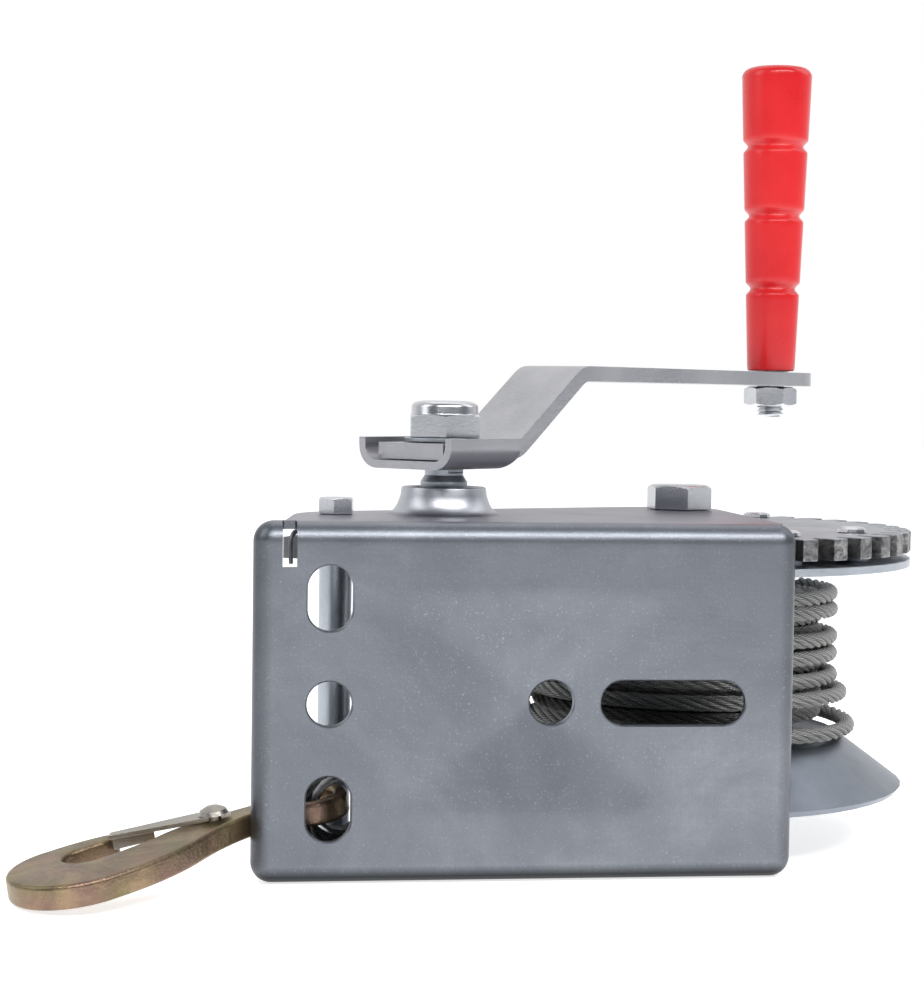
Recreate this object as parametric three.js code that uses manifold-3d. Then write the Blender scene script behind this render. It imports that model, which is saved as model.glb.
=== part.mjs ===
// Hand winch for a boat trailer, lying on its lower side plate with the crank upright.
// Millimetres. +Z is up, along the crank shaft. The base plate that bolts to the winch post
// faces -Y. The origin is on the underside of the lower side plate, at the middle of its width.
import * as THREE from 'three';
import { mergeVertices } from 'three/addons/utils/BufferGeometryUtils.js';
import { RoundedBoxGeometry } from 'three/addons/geometries/RoundedBoxGeometry.js';
import Module from 'manifold-3d';

const wasm = await Module();
wasm.setup();

// Pressed steel frame
const plateWidth = 160;
const frameHeight = 105;
const sheet = 2.5;
const bendRadius = 6;
const faceY = -30;
const backY = 69;
const lipDepth = 7;
const plateLeft = -plateWidth / 2;
const earUnderside = frameHeight - sheet;

// Base plate holes
const boltHole = 13;
const slotHeight = 19;
const boltColumnX = plateLeft + 22;
const plateMiddle = frameHeight / 2;
const boltSpacing = 30.5;
const centreHoleX = plateLeft + 87;
const longSlotStart = plateLeft + 101.5;
const longSlotEnd = plateLeft + 144.5;

// Gears
const gearTeeth = 40;
const pinionTeeth = 10;
const gearModule = 3.6;
const gearPitch = gearModule * gearTeeth / 2;
const pinionPitch = gearModule * pinionTeeth / 2;
const centreDistance = gearPitch + pinionPitch;
const gearOuter = gearPitch + 3.2;
const gearRoot = gearPitch - 4.7;
const gearTipWidth = 5.6;
const gearRootWidth = 7;
const meshGap = 0.35;
const gearBottom = 93.3;
const gearTop = 100;

// Axes of the turning parts
const crankX = -20.25;
const crankY = 17.27;
const meshAngle = THREE.MathUtils.degToRad(23.502);
const drumX = crankX + centreDistance * Math.cos(meshAngle);
const drumY = crankY + centreDistance * Math.sin(meshAngle);
const tieX = -54;
const tieY = 9;

// Crank shaft and its bearings
const shaftRadius = 7.3;
const shaftEndRadius = 6;
const shaftFlat = 4.75;
const bossRim = 113.4;
const bossRadius = 13.1;
const bossBore = 10.8;

// Drum
const tubeRadius = 20;
const tubeWall = 3;
const axleRadius = 6;
const upperFlangeZ = 88.7;
const lowerFlangeZ = 30.5;
const flangeRadius = 75.3;
const lowerFlangeRadius = 74;
const flatRadius = 53;
const rivetCircle = 60;
const rivetPairs = 3;
const rivetPhase = THREE.MathUtils.degToRad(-53.5);
const rivetSpread = THREE.MathUtils.degToRad(16.5);
const windingRadius = 52.5;
const windingTop = 82;
const nutPocket = 7.2;

// Crank handle
const armAngle = THREE.MathUtils.degToRad(43.2);
const armReach = 189.4;
const armWidth = 26;
const armThick = 5;
const armLow = 122;
const armHigh = 146.7;
const trayBottom = 119.1;
const trayWall = 2.5;
const trayWidth = 37;
const trayTop = 128.5;
const crankNutTurn = 0.45;
const gripBottom = 152.3;
const gripTop = 265.4;
const gripX = crankX + armReach * Math.cos(armAngle);
const gripY = crankY + armReach * Math.sin(armAngle);

// Ratchet pawl
const pawlBottom = 93.6;
const pawlTop = 99.8;
const pawlRelease = THREE.MathUtils.degToRad(-10);

// Rope and hook
const ropeRadius = 2.5;
const eyeX = -62.5;
const eyeY = -9.5;
const eyeZ = 19.5;
const loopAngle = THREE.MathUtils.degToRad(10);
const loopCentre = 9.5;
const hookHeading = THREE.MathUtils.degToRad(208);
const hookTilt = THREE.MathUtils.degToRad(9.5);
const hookThick = 7;

const gap = 0.3;

const zinc = () => new THREE.MeshStandardMaterial({ color: 0xb4b9c0, roughness: 0.38, metalness: 1 });
const brightZinc = () => new THREE.MeshStandardMaterial({ color: 0xc6cad0, roughness: 0.28, metalness: 1 });
const bareSteel = () => new THREE.MeshStandardMaterial({ color: 0x8c8f94, roughness: 0.45, metalness: 1 });
const yellowZinc = () => new THREE.MeshStandardMaterial({ color: 0xb08d57, roughness: 0.42, metalness: 1 });
const wireRope = () => new THREE.MeshStandardMaterial({ color: 0x8f9195, roughness: 0.5, metalness: 1 });
const bronze = () => new THREE.MeshStandardMaterial({ color: 0x9a7846, roughness: 0.4, metalness: 1 });
const nylon = () => new THREE.MeshStandardMaterial({ color: 0xd9d9d2, roughness: 0.6, metalness: 0 });
const redPlastic = () => new THREE.MeshStandardMaterial({ color: 0xc31a20, roughness: 0.3, metalness: 0 });

// ---- Shape helpers ----

// Turns a closed three.js geometry into a solid that can be joined and cut.
function solid(geometry) {
  const bare = geometry.clone();
  bare.deleteAttribute('normal');
  bare.deleteAttribute('uv');
  const merged = mergeVertices(bare, 1e-4);
  const corners = merged.index.array;
  const kept = [];
  for (let i = 0; i < corners.length; i += 3) {
    const [a, b, c] = [corners[i], corners[i + 1], corners[i + 2]];
    if (a !== b && b !== c && c !== a) kept.push(a, b, c);
  }
  return new wasm.Manifold(new wasm.Mesh({
    numProp: 3,
    vertProperties: new Float32Array(merged.attributes.position.array),
    triVerts: new Uint32Array(kept),
  }));
}

function geometryOf(body) {
  const mesh = body.getMesh();
  const geometry = new THREE.BufferGeometry();
  geometry.setAttribute('position', new THREE.BufferAttribute(mesh.vertProperties, 3));
  geometry.setIndex(new THREE.BufferAttribute(mesh.triVerts, 1));
  geometry.computeVertexNormals();
  return geometry;
}

const join = (first, ...others) => others.reduce((sum, other) => sum.add(other), first);
const cut = (first, ...tools) => tools.reduce((rest, tool) => rest.subtract(tool), first);

function box(x0, x1, y0, y1, z0, z1) {
  const geometry = new THREE.BoxGeometry(x1 - x0, y1 - y0, z1 - z0);
  return solid(geometry.translate((x0 + x1) / 2, (y0 + y1) / 2, (z0 + z1) / 2));
}

function roundedBox(x0, x1, y0, y1, z0, z1, radius) {
  const geometry = new RoundedBoxGeometry(x1 - x0, y1 - y0, z1 - z0, 3, radius);
  return solid(geometry.translate((x0 + x1) / 2, (y0 + y1) / 2, (z0 + z1) / 2));
}

// A straight extrusion of a flat outline from z0 up to z1.
function prism(shape, z0, z1, curveSegments = 6) {
  const options = { depth: z1 - z0, bevelEnabled: false, curveSegments };
  return solid(new THREE.ExtrudeGeometry(shape, options).translate(0, 0, z0));
}

// A body turned about the vertical line through (x, y). The profile lists [radius, z] corners.
function turned(profile, x = 0, y = 0, segments = 24) {
  let area = 0;
  profile.forEach(([r, z], i) => {
    const [nextR, nextZ] = profile[(i + 1) % profile.length];
    area += r * nextZ - nextR * z;
  });
  const ordered = area > 0 ? profile : [...profile].reverse();
  const points = ordered.map(([r, z]) => new THREE.Vector2(r, z));
  points.push(points[0].clone());
  const geometry = new THREE.LatheGeometry(points, segments).rotateX(Math.PI / 2);
  return solid(geometry.translate(x, y, 0));
}

const rod = (radius, z0, z1, x, y, segments) =>
  turned([[0, z0], [radius, z0], [radius, z1], [0, z1]], x, y, segments);

const ring = (inner, outer, z0, z1, x, y, segments) =>
  turned([[inner, z0], [outer, z0], [outer, z1], [inner, z1]], x, y, segments);

function polygon(points) {
  return new THREE.Shape(points.map(([x, y]) => new THREE.Vector2(x, y)));
}

function circlePath(x, y, radius) {
  const path = new THREE.Path();
  path.absarc(x, y, radius, 0, Math.PI * 2, true);
  return path;
}

// An outline with two round ends, centred on (x, y).
function slotShape(x, y, width, height) {
  const radius = Math.min(width, height) / 2;
  const runX = width / 2 - radius;
  const runY = height / 2 - radius;
  const shape = new THREE.Shape();
  if (runX > 0) {
    shape.absarc(x + runX, y, radius, -Math.PI / 2, Math.PI / 2);
    shape.absarc(x - runX, y, radius, Math.PI / 2, Math.PI * 1.5);
  } else {
    shape.absarc(x, y + runY, radius, 0, Math.PI);
    shape.absarc(x, y - runY, radius, Math.PI, Math.PI * 2);
  }
  return shape;
}

function hexPrism(acrossFlats, z0, z1, x, y, turn = 0) {
  const radius = acrossFlats / Math.sqrt(3);
  const points = [];
  for (let i = 0; i < 6; i += 1) {
    const angle = turn + i * Math.PI / 3;
    points.push([x + radius * Math.cos(angle), y + radius * Math.sin(angle)]);
  }
  return prism(polygon(points), z0, z1);
}

// A hexagon with the corners of its top (and bottom) face turned off, as on nuts and bolt heads.
function hexHead(acrossFlats, z0, z1, x, y, turn, bothEnds = false) {
  const face = acrossFlats * 0.47;
  const corner = acrossFlats / Math.sqrt(3) + 0.1;
  const fall = (corner - face) * 0.5;
  const profile = [[0, z0]];
  if (bothEnds) profile.push([face, z0], [corner, z0 + fall]);
  else profile.push([corner, z0]);
  profile.push([corner, z1 - fall], [face, z1], [0, z1]);
  return hexPrism(acrossFlats, z0, z1, x, y, turn).intersect(turned(profile, x, y));
}

function tube(points, radius, sides, steps) {
  const path = new THREE.CatmullRomCurve3(points, false, 'centripetal');
  const section = new THREE.Shape();
  for (let i = 0; i < sides; i += 1) {
    const angle = i * 2 * Math.PI / sides;
    const corner = [radius * Math.cos(angle), radius * Math.sin(angle)];
    if (i === 0) section.moveTo(...corner);
    else section.lineTo(...corner);
  }
  const options = { steps, extrudePath: path, bevelEnabled: false };
  return solid(new THREE.ExtrudeGeometry(section, options));
}

const vectors = (points) => points.map(([x, y, z]) => new THREE.Vector3(x, y, z));

// Turns a body about the vertical line through (x, y).
function spin(body, angle, x = 0, y = 0) {
  const turn = new THREE.Matrix4().makeTranslation(x, y, 0)
    .multiply(new THREE.Matrix4().makeRotationZ(angle))
    .multiply(new THREE.Matrix4().makeTranslation(-x, -y, 0));
  return solid(geometryOf(body).applyMatrix4(turn));
}

const moved = (body, matrix) => solid(geometryOf(body).applyMatrix4(matrix));

// ---- Frame ----

// The side plate seen from above: straight on the right, sloping back in to the tie bar corner.
function earShape() {
  const shape = new THREE.Shape();
  shape.moveTo(plateLeft + 9, faceY + bendRadius);
  shape.lineTo(plateLeft + 13, faceY + 37);
  shape.quadraticCurveTo(plateLeft + 15, faceY + 52, plateLeft + 28, faceY + 58);
  shape.lineTo(plateLeft + 118, backY - 5);
  shape.quadraticCurveTo(plateLeft + 130, backY, plateLeft + 143, backY);
  shape.quadraticCurveTo(plateLeft + 154, backY - 1, plateLeft + 156, backY - 14);
  shape.lineTo(plateLeft + 156, faceY + bendRadius);
  return shape;
}

// The shallow four-sided dish pressed into the middle of the base plate.
function pressedDish(y) {
  const dish = new THREE.ConeGeometry(Math.SQRT2, 1, 4, 1).rotateY(Math.PI / 4);
  dish.scale(40, 1.4, 31);
  return solid(dish.translate(plateLeft + 81.5, y + 0.7, plateMiddle));
}

function plateOpening(shape) {
  const opening = new THREE.ExtrudeGeometry(shape, { depth: 12, bevelEnabled: false, curveSegments: 7 });
  return solid(opening.rotateX(Math.PI / 2).translate(0, faceY + 10, 0));
}

function frame() {
  const right = -plateLeft;
  const outer = roundedBox(plateLeft, right, faceY, backY + 30, 0, frameHeight, bendRadius);
  const inner = roundedBox(plateLeft + sheet, right - sheet, faceY + sheet, backY + 40,
    sheet, frameHeight - sheet, bendRadius - sheet);
  const pan = box(plateLeft - 1, right + 1, faceY - 1, faceY + lipDepth, -1, frameHeight + 1);
  const shell = join(cut(outer, inner).intersect(pan), prism(earShape(), 0, sheet),
    prism(earShape(), earUnderside, frameHeight));
  const pressed = cut(join(shell, pressedDish(faceY + sheet - 0.05)), pressedDish(faceY - 0.05));
  const boss = turned([
    [bossBore, earUnderside], [bossBore, bossRim], [bossRadius, bossRim], [14.2, 108.8],
    [15.6, 106.4], [17.6, frameHeight], [17.6, earUnderside],
  ], crankX, crankY);
  const nutCup = rod(16.5, 0, nutPocket + sheet, drumX, drumY);
  const openings = [
    plateOpening(slotShape(boltColumnX, plateMiddle + boltSpacing, boltHole, slotHeight)),
    plateOpening(slotShape(boltColumnX, plateMiddle, boltHole, boltHole)),
    plateOpening(slotShape(boltColumnX, plateMiddle - boltSpacing, boltHole, slotHeight)),
    plateOpening(slotShape(centreHoleX, plateMiddle, boltHole, boltHole)),
    plateOpening(slotShape((longSlotStart + longSlotEnd) / 2, plateMiddle,
      longSlotEnd - longSlotStart, boltHole)),
    box(plateLeft + 8.2, plateLeft + 12.4, faceY - 1, faceY + 6, 91.5, frameHeight + 1),
    rod(bossBore, earUnderside - 1, bossRim + 1, crankX, crankY),
    rod(8.3, -1, sheet + 1, crankX, crankY),
    rod(13.7, -1, nutPocket, drumX, drumY),
    rod(axleRadius + gap, -1, frameHeight + 1, drumX, drumY),
    rod(3.3, -1, frameHeight + 1, tieX, tieY, 20),
    turned([[0, -0.1], [6.4, -0.1], [3.2, 3.2], [0, 3.2]], tieX, tieY, 20),
  ];
  return cut(join(pressed, boss, nutCup), ...openings);
}

// ---- Tie bar, its screws and the ratchet ----

function tieBar() {
  const bar = rod(5, sheet + gap, earUnderside - gap, tieX, tieY);
  return cut(bar, rod(3.3, sheet - 1, 18, tieX, tieY, 20), rod(3.3, 87, frameHeight, tieX, tieY, 20));
}

function tieBolt() {
  const head = hexHead(10, frameHeight + gap, 110.2, tieX, tieY, 0.35);
  return join(head, rod(3, 88, frameHeight + 1, tieX, tieY, 20));
}

function tieScrew() {
  const body = turned([[0, gap], [5.6, gap], [3, 2.9], [3, 17], [0, 17]], tieX, tieY, 20);
  return cut(body, hexPrism(4, 0, 2.2, tieX, tieY));
}

// Drawn in the engaged position about the tie bar, then turned back to its released position.
function pawl() {
  const toCrank = [crankX - tieX, crankY - tieY];
  const spaceAngle = meshAngle - Math.PI * 0.7;
  const onRay = (radius, side) => [
    toCrank[0] + radius * Math.cos(spaceAngle) - side * Math.sin(spaceAngle),
    toCrank[1] + radius * Math.sin(spaceAngle) + side * Math.cos(spaceAngle),
  ];
  const elbow = onRay(30.5, 0);
  const reach = Math.hypot(...elbow);
  const bar = prism(polygon([[0, -5], [reach, -3.2], [reach, 3.2], [0, 5]]), pawlBottom, pawlTop);
  const nose = prism(polygon([onRay(33, -3), onRay(33, 3), onRay(18.4, 2), onRay(18.4, -2)]),
    pawlBottom, pawlTop);
  const tailAngle = THREE.MathUtils.degToRad(-119) - pawlRelease;
  const tail = spin(prism(polygon([[0, -4], [31, -2.4], [31, 2.4], [0, 4]]), pawlBottom, pawlTop),
    tailAngle);
  const arms = join(spin(bar, Math.atan2(elbow[1], elbow[0])), nose, tail);
  const whole = cut(join(arms, rod(9, pawlBottom, pawlTop, 0, 0)), rod(5.4, 90, 103, 0, 0));
  return moved(spin(whole, pawlRelease), new THREE.Matrix4().makeTranslation(tieX, tieY, 0));
}

// A wire torsion spring on top of the pawl. One leg lies over the pawl, the other reaches into
// the frame's corner notch and bends down there.
function pawlSpring() {
  const coilRadius = 6.7;
  const z = 101.15;
  const points = [[-69.2, -25.4, 92.6], [-69.4, -25.5, 96], [-69.3, -25.2, 99.3], [-68.4, -22.6, z],
    [-64.6, -8, z]];
  for (let i = 0; i <= 8; i += 1) {
    const angle = Math.PI * (1 - i * 1.2 / 8);
    points.push([tieX + coilRadius * Math.cos(angle), tieY + coilRadius * Math.sin(angle), z]);
  }
  points.push([-51.6, 0.9, z], [-54.4, -3.2, z]);
  return tube(vectors(points), 0.7, 6, 44);
}

const pawlClip = () => ring(5.3, 9, 92, 93.2, tieX, tieY, 24);

// ---- Crank shaft, gears and bearings ----

const upperBush = () => turned([
  [shaftRadius + gap, 100.3], [13.5, 100.3], [13.5, 102.2], [bossBore - gap, 102.2],
  [bossBore - gap, 111.4], [shaftRadius + gap, 111.4],
], crankX, crankY);

const lowerBush = () => turned([
  [shaftEndRadius + gap, gap], [8, gap], [8, sheet + gap], [11, sheet + gap], [11, 4.9],
  [shaftEndRadius + gap, 4.9],
], crankX, crankY);

function crankShaft() {
  const body = turned([
    [0, 0.8], [shaftEndRadius, 0.8], [shaftEndRadius, 5.2], [shaftRadius, 5.2], [shaftRadius, 115],
    [shaftEndRadius, 117], [shaftEndRadius, 137], [5.2, 137.8], [0, 137.8],
  ], crankX, crankY);
  const low = 117.8;
  const high = armLow + armThick + 0.4;
  const flats = [-1, 1].map((side) => spin(
    box(crankX - 9, crankX + 9, Math.min(side * shaftFlat, side * 9) + crankY,
      Math.max(side * shaftFlat, side * 9) + crankY, low, high),
    armAngle, crankX, crankY));
  return cut(body, ...flats);
}

// The double-flatted hole that fits the shaft end.
function shaftHole() {
  const flat = shaftFlat + gap;
  const middle = box(crankX - 9, crankX + 9, crankY - flat, crankY + flat, 110, 140);
  return rod(shaftEndRadius + gap, 110, 140, crankX, crankY)
    .intersect(spin(middle, armAngle, crankX, crankY));
}

// One gear tooth pointing along -X from a gear centred on (centreX, 0).
function gearTooth(centreX, extra) {
  const tip = gearTipWidth / 2 + extra;
  const root = gearRootWidth / 2 + extra;
  const outer = gearOuter + extra;
  return [
    [centreX - gearRoot, root], [centreX - outer, tip],
    [centreX - outer, -tip], [centreX - gearRoot, -root],
  ];
}

// The pinion's tooth spaces are the path that a gear tooth sweeps as the two roll together.
function drivePinion() {
  const tooth = prism(polygon(gearTooth(centreDistance, meshGap).reverse()), gearBottom - 2, gearTop + 1);
  let space = tooth;
  for (let step = -4; step <= 4; step += 1) {
    const turn = THREE.MathUtils.degToRad(step * 8);
    const rolled = spin(tooth, -turn * pinionTeeth / gearTeeth, centreDistance, 0);
    space = space.add(spin(rolled, -turn));
  }
  const outer = centreDistance - gearRoot - 0.7;
  let body = ring(shaftRadius + gap, outer, gearBottom - 0.8, gearTop - 0.2, 0, 0, 30);
  for (let i = 0; i < pinionTeeth; i += 1) {
    body = body.subtract(spin(space, i * 2 * Math.PI / pinionTeeth));
  }
  const rest = meshAngle + Math.PI / pinionTeeth;
  return moved(spin(body.simplify(0.03), rest), new THREE.Matrix4().makeTranslation(crankX, crankY, 0));
}

function drumGear() {
  const outline = [];
  for (let i = 0; i < gearTeeth; i += 1) {
    const middle = meshAngle + (i + 0.5) * 2 * Math.PI / gearTeeth;
    for (const [x, y] of gearTooth(0, 0)) {
      const angle = middle - Math.atan2(y, -x);
      const radius = Math.hypot(x, y);
      outline.push([drumX - radius * Math.cos(angle), drumY - radius * Math.sin(angle)]);
    }
  }
  const shape = polygon(outline);
  for (const [x, y] of rivetPlaces()) shape.holes.push(circlePath(x, y, 3.4));
  const bore = rod(tubeRadius - tubeWall, gearBottom - 1, gearTop + 1, drumX, drumY, 36);
  return cut(prism(shape, gearBottom, gearTop, 4), bore);
}

// ---- Drum ----

function rivetPlaces() {
  const places = [];
  for (let i = 0; i < rivetPairs; i += 1) {
    for (const side of [-rivetSpread, rivetSpread]) {
      const angle = rivetPhase + side + i * 2 * Math.PI / rivetPairs;
      places.push([drumX + rivetCircle * Math.cos(angle), drumY + rivetCircle * Math.sin(angle)]);
    }
  }
  return places;
}

const drumTube = () =>
  ring(tubeRadius - tubeWall, tubeRadius, 16.5, gearBottom - gap, drumX, drumY, 36);

function upperFlange() {
  const disc = ring(tubeRadius + gap, flangeRadius, upperFlangeZ, upperFlangeZ + sheet, drumX, drumY, 48);
  const dimples = rivetPlaces().map(([x, y]) =>
    rod(5.5, upperFlangeZ + 1, gearBottom - gap, x, y, 12));
  const holes = rivetPlaces().map(([x, y]) => rod(3.4, upperFlangeZ - 1, gearBottom + 1, x, y, 8));
  return cut(join(disc, ...dimples), ...holes);
}

function gearRivet([x, y]) {
  return turned([
    [0, 86.9], [4.2, 86.9], [4.8, 87.8], [4.8, upperFlangeZ - gap], [3, upperFlangeZ - gap],
    [3, gearTop + gap], [4.8, gearTop + gap], [4.6, 101.2], [3.6, 101.8], [0, 101.9],
  ], x, y, 10);
}

// The rope's inner end drops through the lower flange and is clamped underneath it. Parts of the
// clamp are drawn with the rope tail along Y, then moved to their place on the far side of the drum.
const clampAngle = THREE.MathUtils.degToRad(100);
const clampPlace = new THREE.Matrix4().makeTranslation(drumX, drumY, 0)
  .multiply(new THREE.Matrix4().makeRotationZ(clampAngle))
  .multiply(new THREE.Matrix4().makeTranslation(34, 0, 0))
  .multiply(new THREE.Matrix4().makeRotationZ(Math.PI / 2));
const clampBoltSides = [-9, 9];
const spareAngles = [THREE.MathUtils.degToRad(-22), THREE.MathUtils.degToRad(-46)];

function lowerFlange() {
  const top = lowerFlangeZ + sheet;
  const body = turned([
    [tubeRadius + gap, lowerFlangeZ], [flatRadius - 1, lowerFlangeZ], [lowerFlangeRadius - 1.6, 15.6],
    [lowerFlangeRadius, 17.6], [flatRadius, top], [tubeRadius + gap, top],
  ], drumX, drumY, 48);
  const holes = clampBoltSides.map((side) => moved(rod(2.8, 28, 36, side, 0, 12), clampPlace));
  holes.push(moved(box(-3.3, 3.3, 5.5, 16.5, 28, 36), clampPlace));
  for (const angle of spareAngles) {
    const [x, y] = [drumX + 46 * Math.cos(angle), drumY + 46 * Math.sin(angle)];
    holes.push(rod(3.2, 28, 36, x, y, 12));
  }
  return cut(body, ...holes);
}

const drumLowerBush = () => turned([
  [axleRadius + gap, 12.3], [19.6, 12.3], [19.6, 16.2], [tubeRadius - tubeWall - gap, 16.2],
  [tubeRadius - tubeWall - gap, 30], [axleRadius + gap, 30],
], drumX, drumY);

const drumUpperBush = () => turned([
  [axleRadius + gap, 78], [tubeRadius - tubeWall - gap, 78], [tubeRadius - tubeWall - gap, gearTop + gap],
  [tubeRadius, gearTop + gap], [tubeRadius, 102.2], [axleRadius + gap, 102.2],
], drumX, drumY);

const axleWasher = () => ring(axleRadius + gap, 12, nutPocket + sheet + gap, 12, drumX, drumY, 28);

function axleBolt() {
  const head = hexHead(19, frameHeight + gap, 113.2, drumX, drumY, 0.56);
  return join(head, turned([[0, 1], [5.4, 1], [axleRadius, 1.8], [axleRadius, 106], [0, 106]], drumX, drumY));
}

const axleNut = () => cut(hexHead(18, 0.7, nutPocket - gap, drumX, drumY, 0, true),
  rod(axleRadius + gap, 0, 8, drumX, drumY));

// The rope on the drum, with the one slack turn that has dropped onto the lower flange.
const ropeWinding = () => turned([
  [tubeRadius + gap, lowerFlangeZ + sheet + gap], [58, lowerFlangeZ + sheet + gap], [59, 36],
  [58, 39.5], [windingRadius, 42], [windingRadius, 81], [50.5, windingTop],
  [tubeRadius + gap, windingTop],
], drumX, drumY, 40);

function ropeClamp() {
  const block = box(-13.5, 13.5, -5, 5, 25.2, lowerFlangeZ - gap);
  const saddle = box(-4.2, 4.2, -5, 5, 22.6, 25.3);
  const channel = box(-3, 3, -6, 6, 24.8, 31);
  const bolts = clampBoltSides.map((side) => rod(2.8, 20, 32, side, 0, 12));
  return moved(cut(join(block, saddle), channel, ...bolts), clampPlace);
}

const ropeTail = () => moved(tube(vectors([
  [0, -8, 27.6], [0, 0, 27.6], [0, 6.5, 27.7], [0, 12, 30.2],
]), ropeRadius, 8, 7), clampPlace);

const clampBolt = (side) => moved(join(hexHead(8, 21.6, 24.9, side, 0, 0, true),
  rod(2.5, 24, lowerFlangeZ + sheet - gap, side, 0, 12)), clampPlace);

// ---- Crank handle ----

// Handle parts are drawn with the shaft on the origin and the arm along +X, then swung into place.
const onCrank = (body) => moved(spin(body, armAngle),
  new THREE.Matrix4().makeTranslation(crankX, crankY, 0));

// A flat strip's edge outline: the centre line offset to both sides.
function stripOutline(centre, thickness) {
  const line = centre.map(([x, y]) => new THREE.Vector2(x, y));
  const sides = [[], []];
  line.forEach((point, i) => {
    const before = line[Math.max(i - 1, 0)];
    const after = line[Math.min(i + 1, line.length - 1)];
    const along = after.clone().sub(before).normalize();
    const normal = new THREE.Vector2(-along.y, along.x).multiplyScalar(thickness / 2);
    sides[0].push(point.clone().add(normal));
    sides[1].push(point.clone().sub(normal));
  });
  return new THREE.Shape([...sides[1], ...sides[0].reverse()]);
}

// The arm's centre line in side view: flat in the hub, up a bend, and flat to the grip.
function armLine() {
  const low = armLow + armThick / 2;
  const high = armHigh + armThick / 2;
  const bend = (cx, cz, radius, from, to) => [0, 0.25, 0.5, 0.75, 1].map((t) => {
    const angle = THREE.MathUtils.degToRad(from + (to - from) * t);
    return [cx + radius * Math.cos(angle), cz + radius * Math.sin(angle)];
  });
  const rise = 36;
  return [
    [-16, low],
    ...bend(18, low + 9, 9, -90, -90 + rise),
    ...bend(57.85, high - 9, 9, 90 + rise, 90),
    [armReach + 19, high],
  ];
}

function crankArm() {
  const side = prism(stripOutline(armLine(), armThick), -armWidth / 2, armWidth / 2);
  const strip = moved(side, new THREE.Matrix4().makeRotationX(Math.PI / 2));
  const plan = new THREE.Shape();
  plan.moveTo(-17, -armWidth / 2);
  plan.lineTo(armReach + 3, -armWidth / 2);
  plan.absellipse(armReach + 3, 0, 14.3, armWidth / 2, -Math.PI / 2, Math.PI / 2);
  plan.lineTo(-17, armWidth / 2);
  const rounded = strip.intersect(prism(plan, armLow - 1, armHigh + armThick + 1));
  const gripHole = rod(5.3, armHigh - 1, armHigh + armThick + 1, armReach, 0, 24);
  return cut(onCrank(cut(rounded, gripHole)), shaftHole());
}

// A channel that the arm lies in, open at both ends, with rounded lower corners.
function hubTray() {
  const half = trayWidth / 2;
  const curl = 7;
  const section = new THREE.Shape();
  section.moveTo(-half, trayTop);
  section.lineTo(-half, trayBottom + curl);
  section.absarc(-half + curl, trayBottom + curl, curl, Math.PI, Math.PI * 1.5);
  section.absarc(half - curl, trayBottom + curl, curl, -Math.PI / 2, 0);
  section.lineTo(half, trayTop);
  section.lineTo(half - trayWall, trayTop);
  const insideCurl = curl - trayWall;
  section.absarc(half - curl, trayBottom + curl, insideCurl, 0, -Math.PI / 2, true);
  section.absarc(-half + curl, trayBottom + curl, insideCurl, Math.PI * 1.5, Math.PI, true);
  section.lineTo(-half + trayWall, trayTop);
  const channel = moved(prism(section, -18.7, 14.8, 5),
    new THREE.Matrix4().makeBasis(new THREE.Vector3(0, 1, 0), new THREE.Vector3(0, 0, 1),
      new THREE.Vector3(1, 0, 0)));
  const side = new THREE.Shape();
  side.moveTo(-20, trayBottom - 1);
  side.lineTo(9, trayBottom - 1);
  side.quadraticCurveTo(14, trayBottom + 0.5, 15.8, trayBottom + 7);
  side.lineTo(15.8, trayTop + 1);
  side.lineTo(-20, trayTop + 1);
  const trim = moved(prism(side, -half - 1, half + 1),
    new THREE.Matrix4().makeRotationX(Math.PI / 2));
  return cut(onCrank(channel.intersect(trim)), shaftHole());
}

const crankWasher = () => ring(shaftEndRadius + gap, 12.5, 127.3, 128.5, crankX, crankY, 28);

function crankNut() {
  const hex = hexHead(21, 128.8, 136, crankX, crankY, crankNutTurn);
  const collar = turned([
    [0, 134], [10.3, 134], [10.3, 138], [9.5, 139.2], [6.4, 139.9], [0, 139.9],
  ], crankX, crankY);
  const chamber = turned([
    [0, 128], [shaftEndRadius + gap, 128], [shaftEndRadius + gap, 135.8], [8.9, 135.8],
    [8.9, 138.6], [5.2, 138.6], [5.2, 141], [0, 141],
  ], crankX, crankY);
  return cut(join(hex, collar), chamber);
}

const crankNutInsert = () => ring(shaftEndRadius + gap, 8.6, 136.1, 138.3, crankX, crankY, 24);

// A tapered handle with three V grooves and a bore that is wider at both ends.
function grip() {
  const height = gripTop - gripBottom;
  const baseRadius = 8.8;
  const topRadius = 13.1;
  const radiusAt = (z) => baseRadius + (topRadius - baseRadius) * (z - gripBottom) / height;
  const profile = [[5.4, 155.6], [7, 155.6], [7, gripBottom], [8, gripBottom], [8.8, gripBottom + 1]];
  for (const groove of [182.9, 210, 235.6]) {
    profile.push([radiusAt(groove - 2.4), groove - 2.4], [radiusAt(groove) - 1.6, groove],
      [radiusAt(groove + 2.4), groove + 2.4]);
  }
  profile.push([radiusAt(gripTop - 7), gripTop - 7], [radiusAt(gripTop) - 0.9, gripTop - 3.4],
    [radiusAt(gripTop) - 3.4, gripTop - 1], [6, gripTop - 0.2], [0, gripTop]);
  profile.push([0, 254], [6.4, 254], [6.4, 246], [5.4, 245]);
  return turned(profile, gripX, gripY, 20);
}

const gripSpindle = () => turned([
  [0, 135.2], [4.4, 135.2], [5, 136], [5, 152], [6.7, 152], [6.7, 155.2], [5, 155.2], [5, 246.6],
  [6, 247.6], [6, 250.5], [5, 252], [0, 252],
], gripX, gripY, 20);

const gripNut = () => cut(hexHead(17, 139.2, armHigh - gap, gripX, gripY, 0.75, true),
  rod(5.3, 138, 148, gripX, gripY, 24));

// ---- Rope end ----

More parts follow.
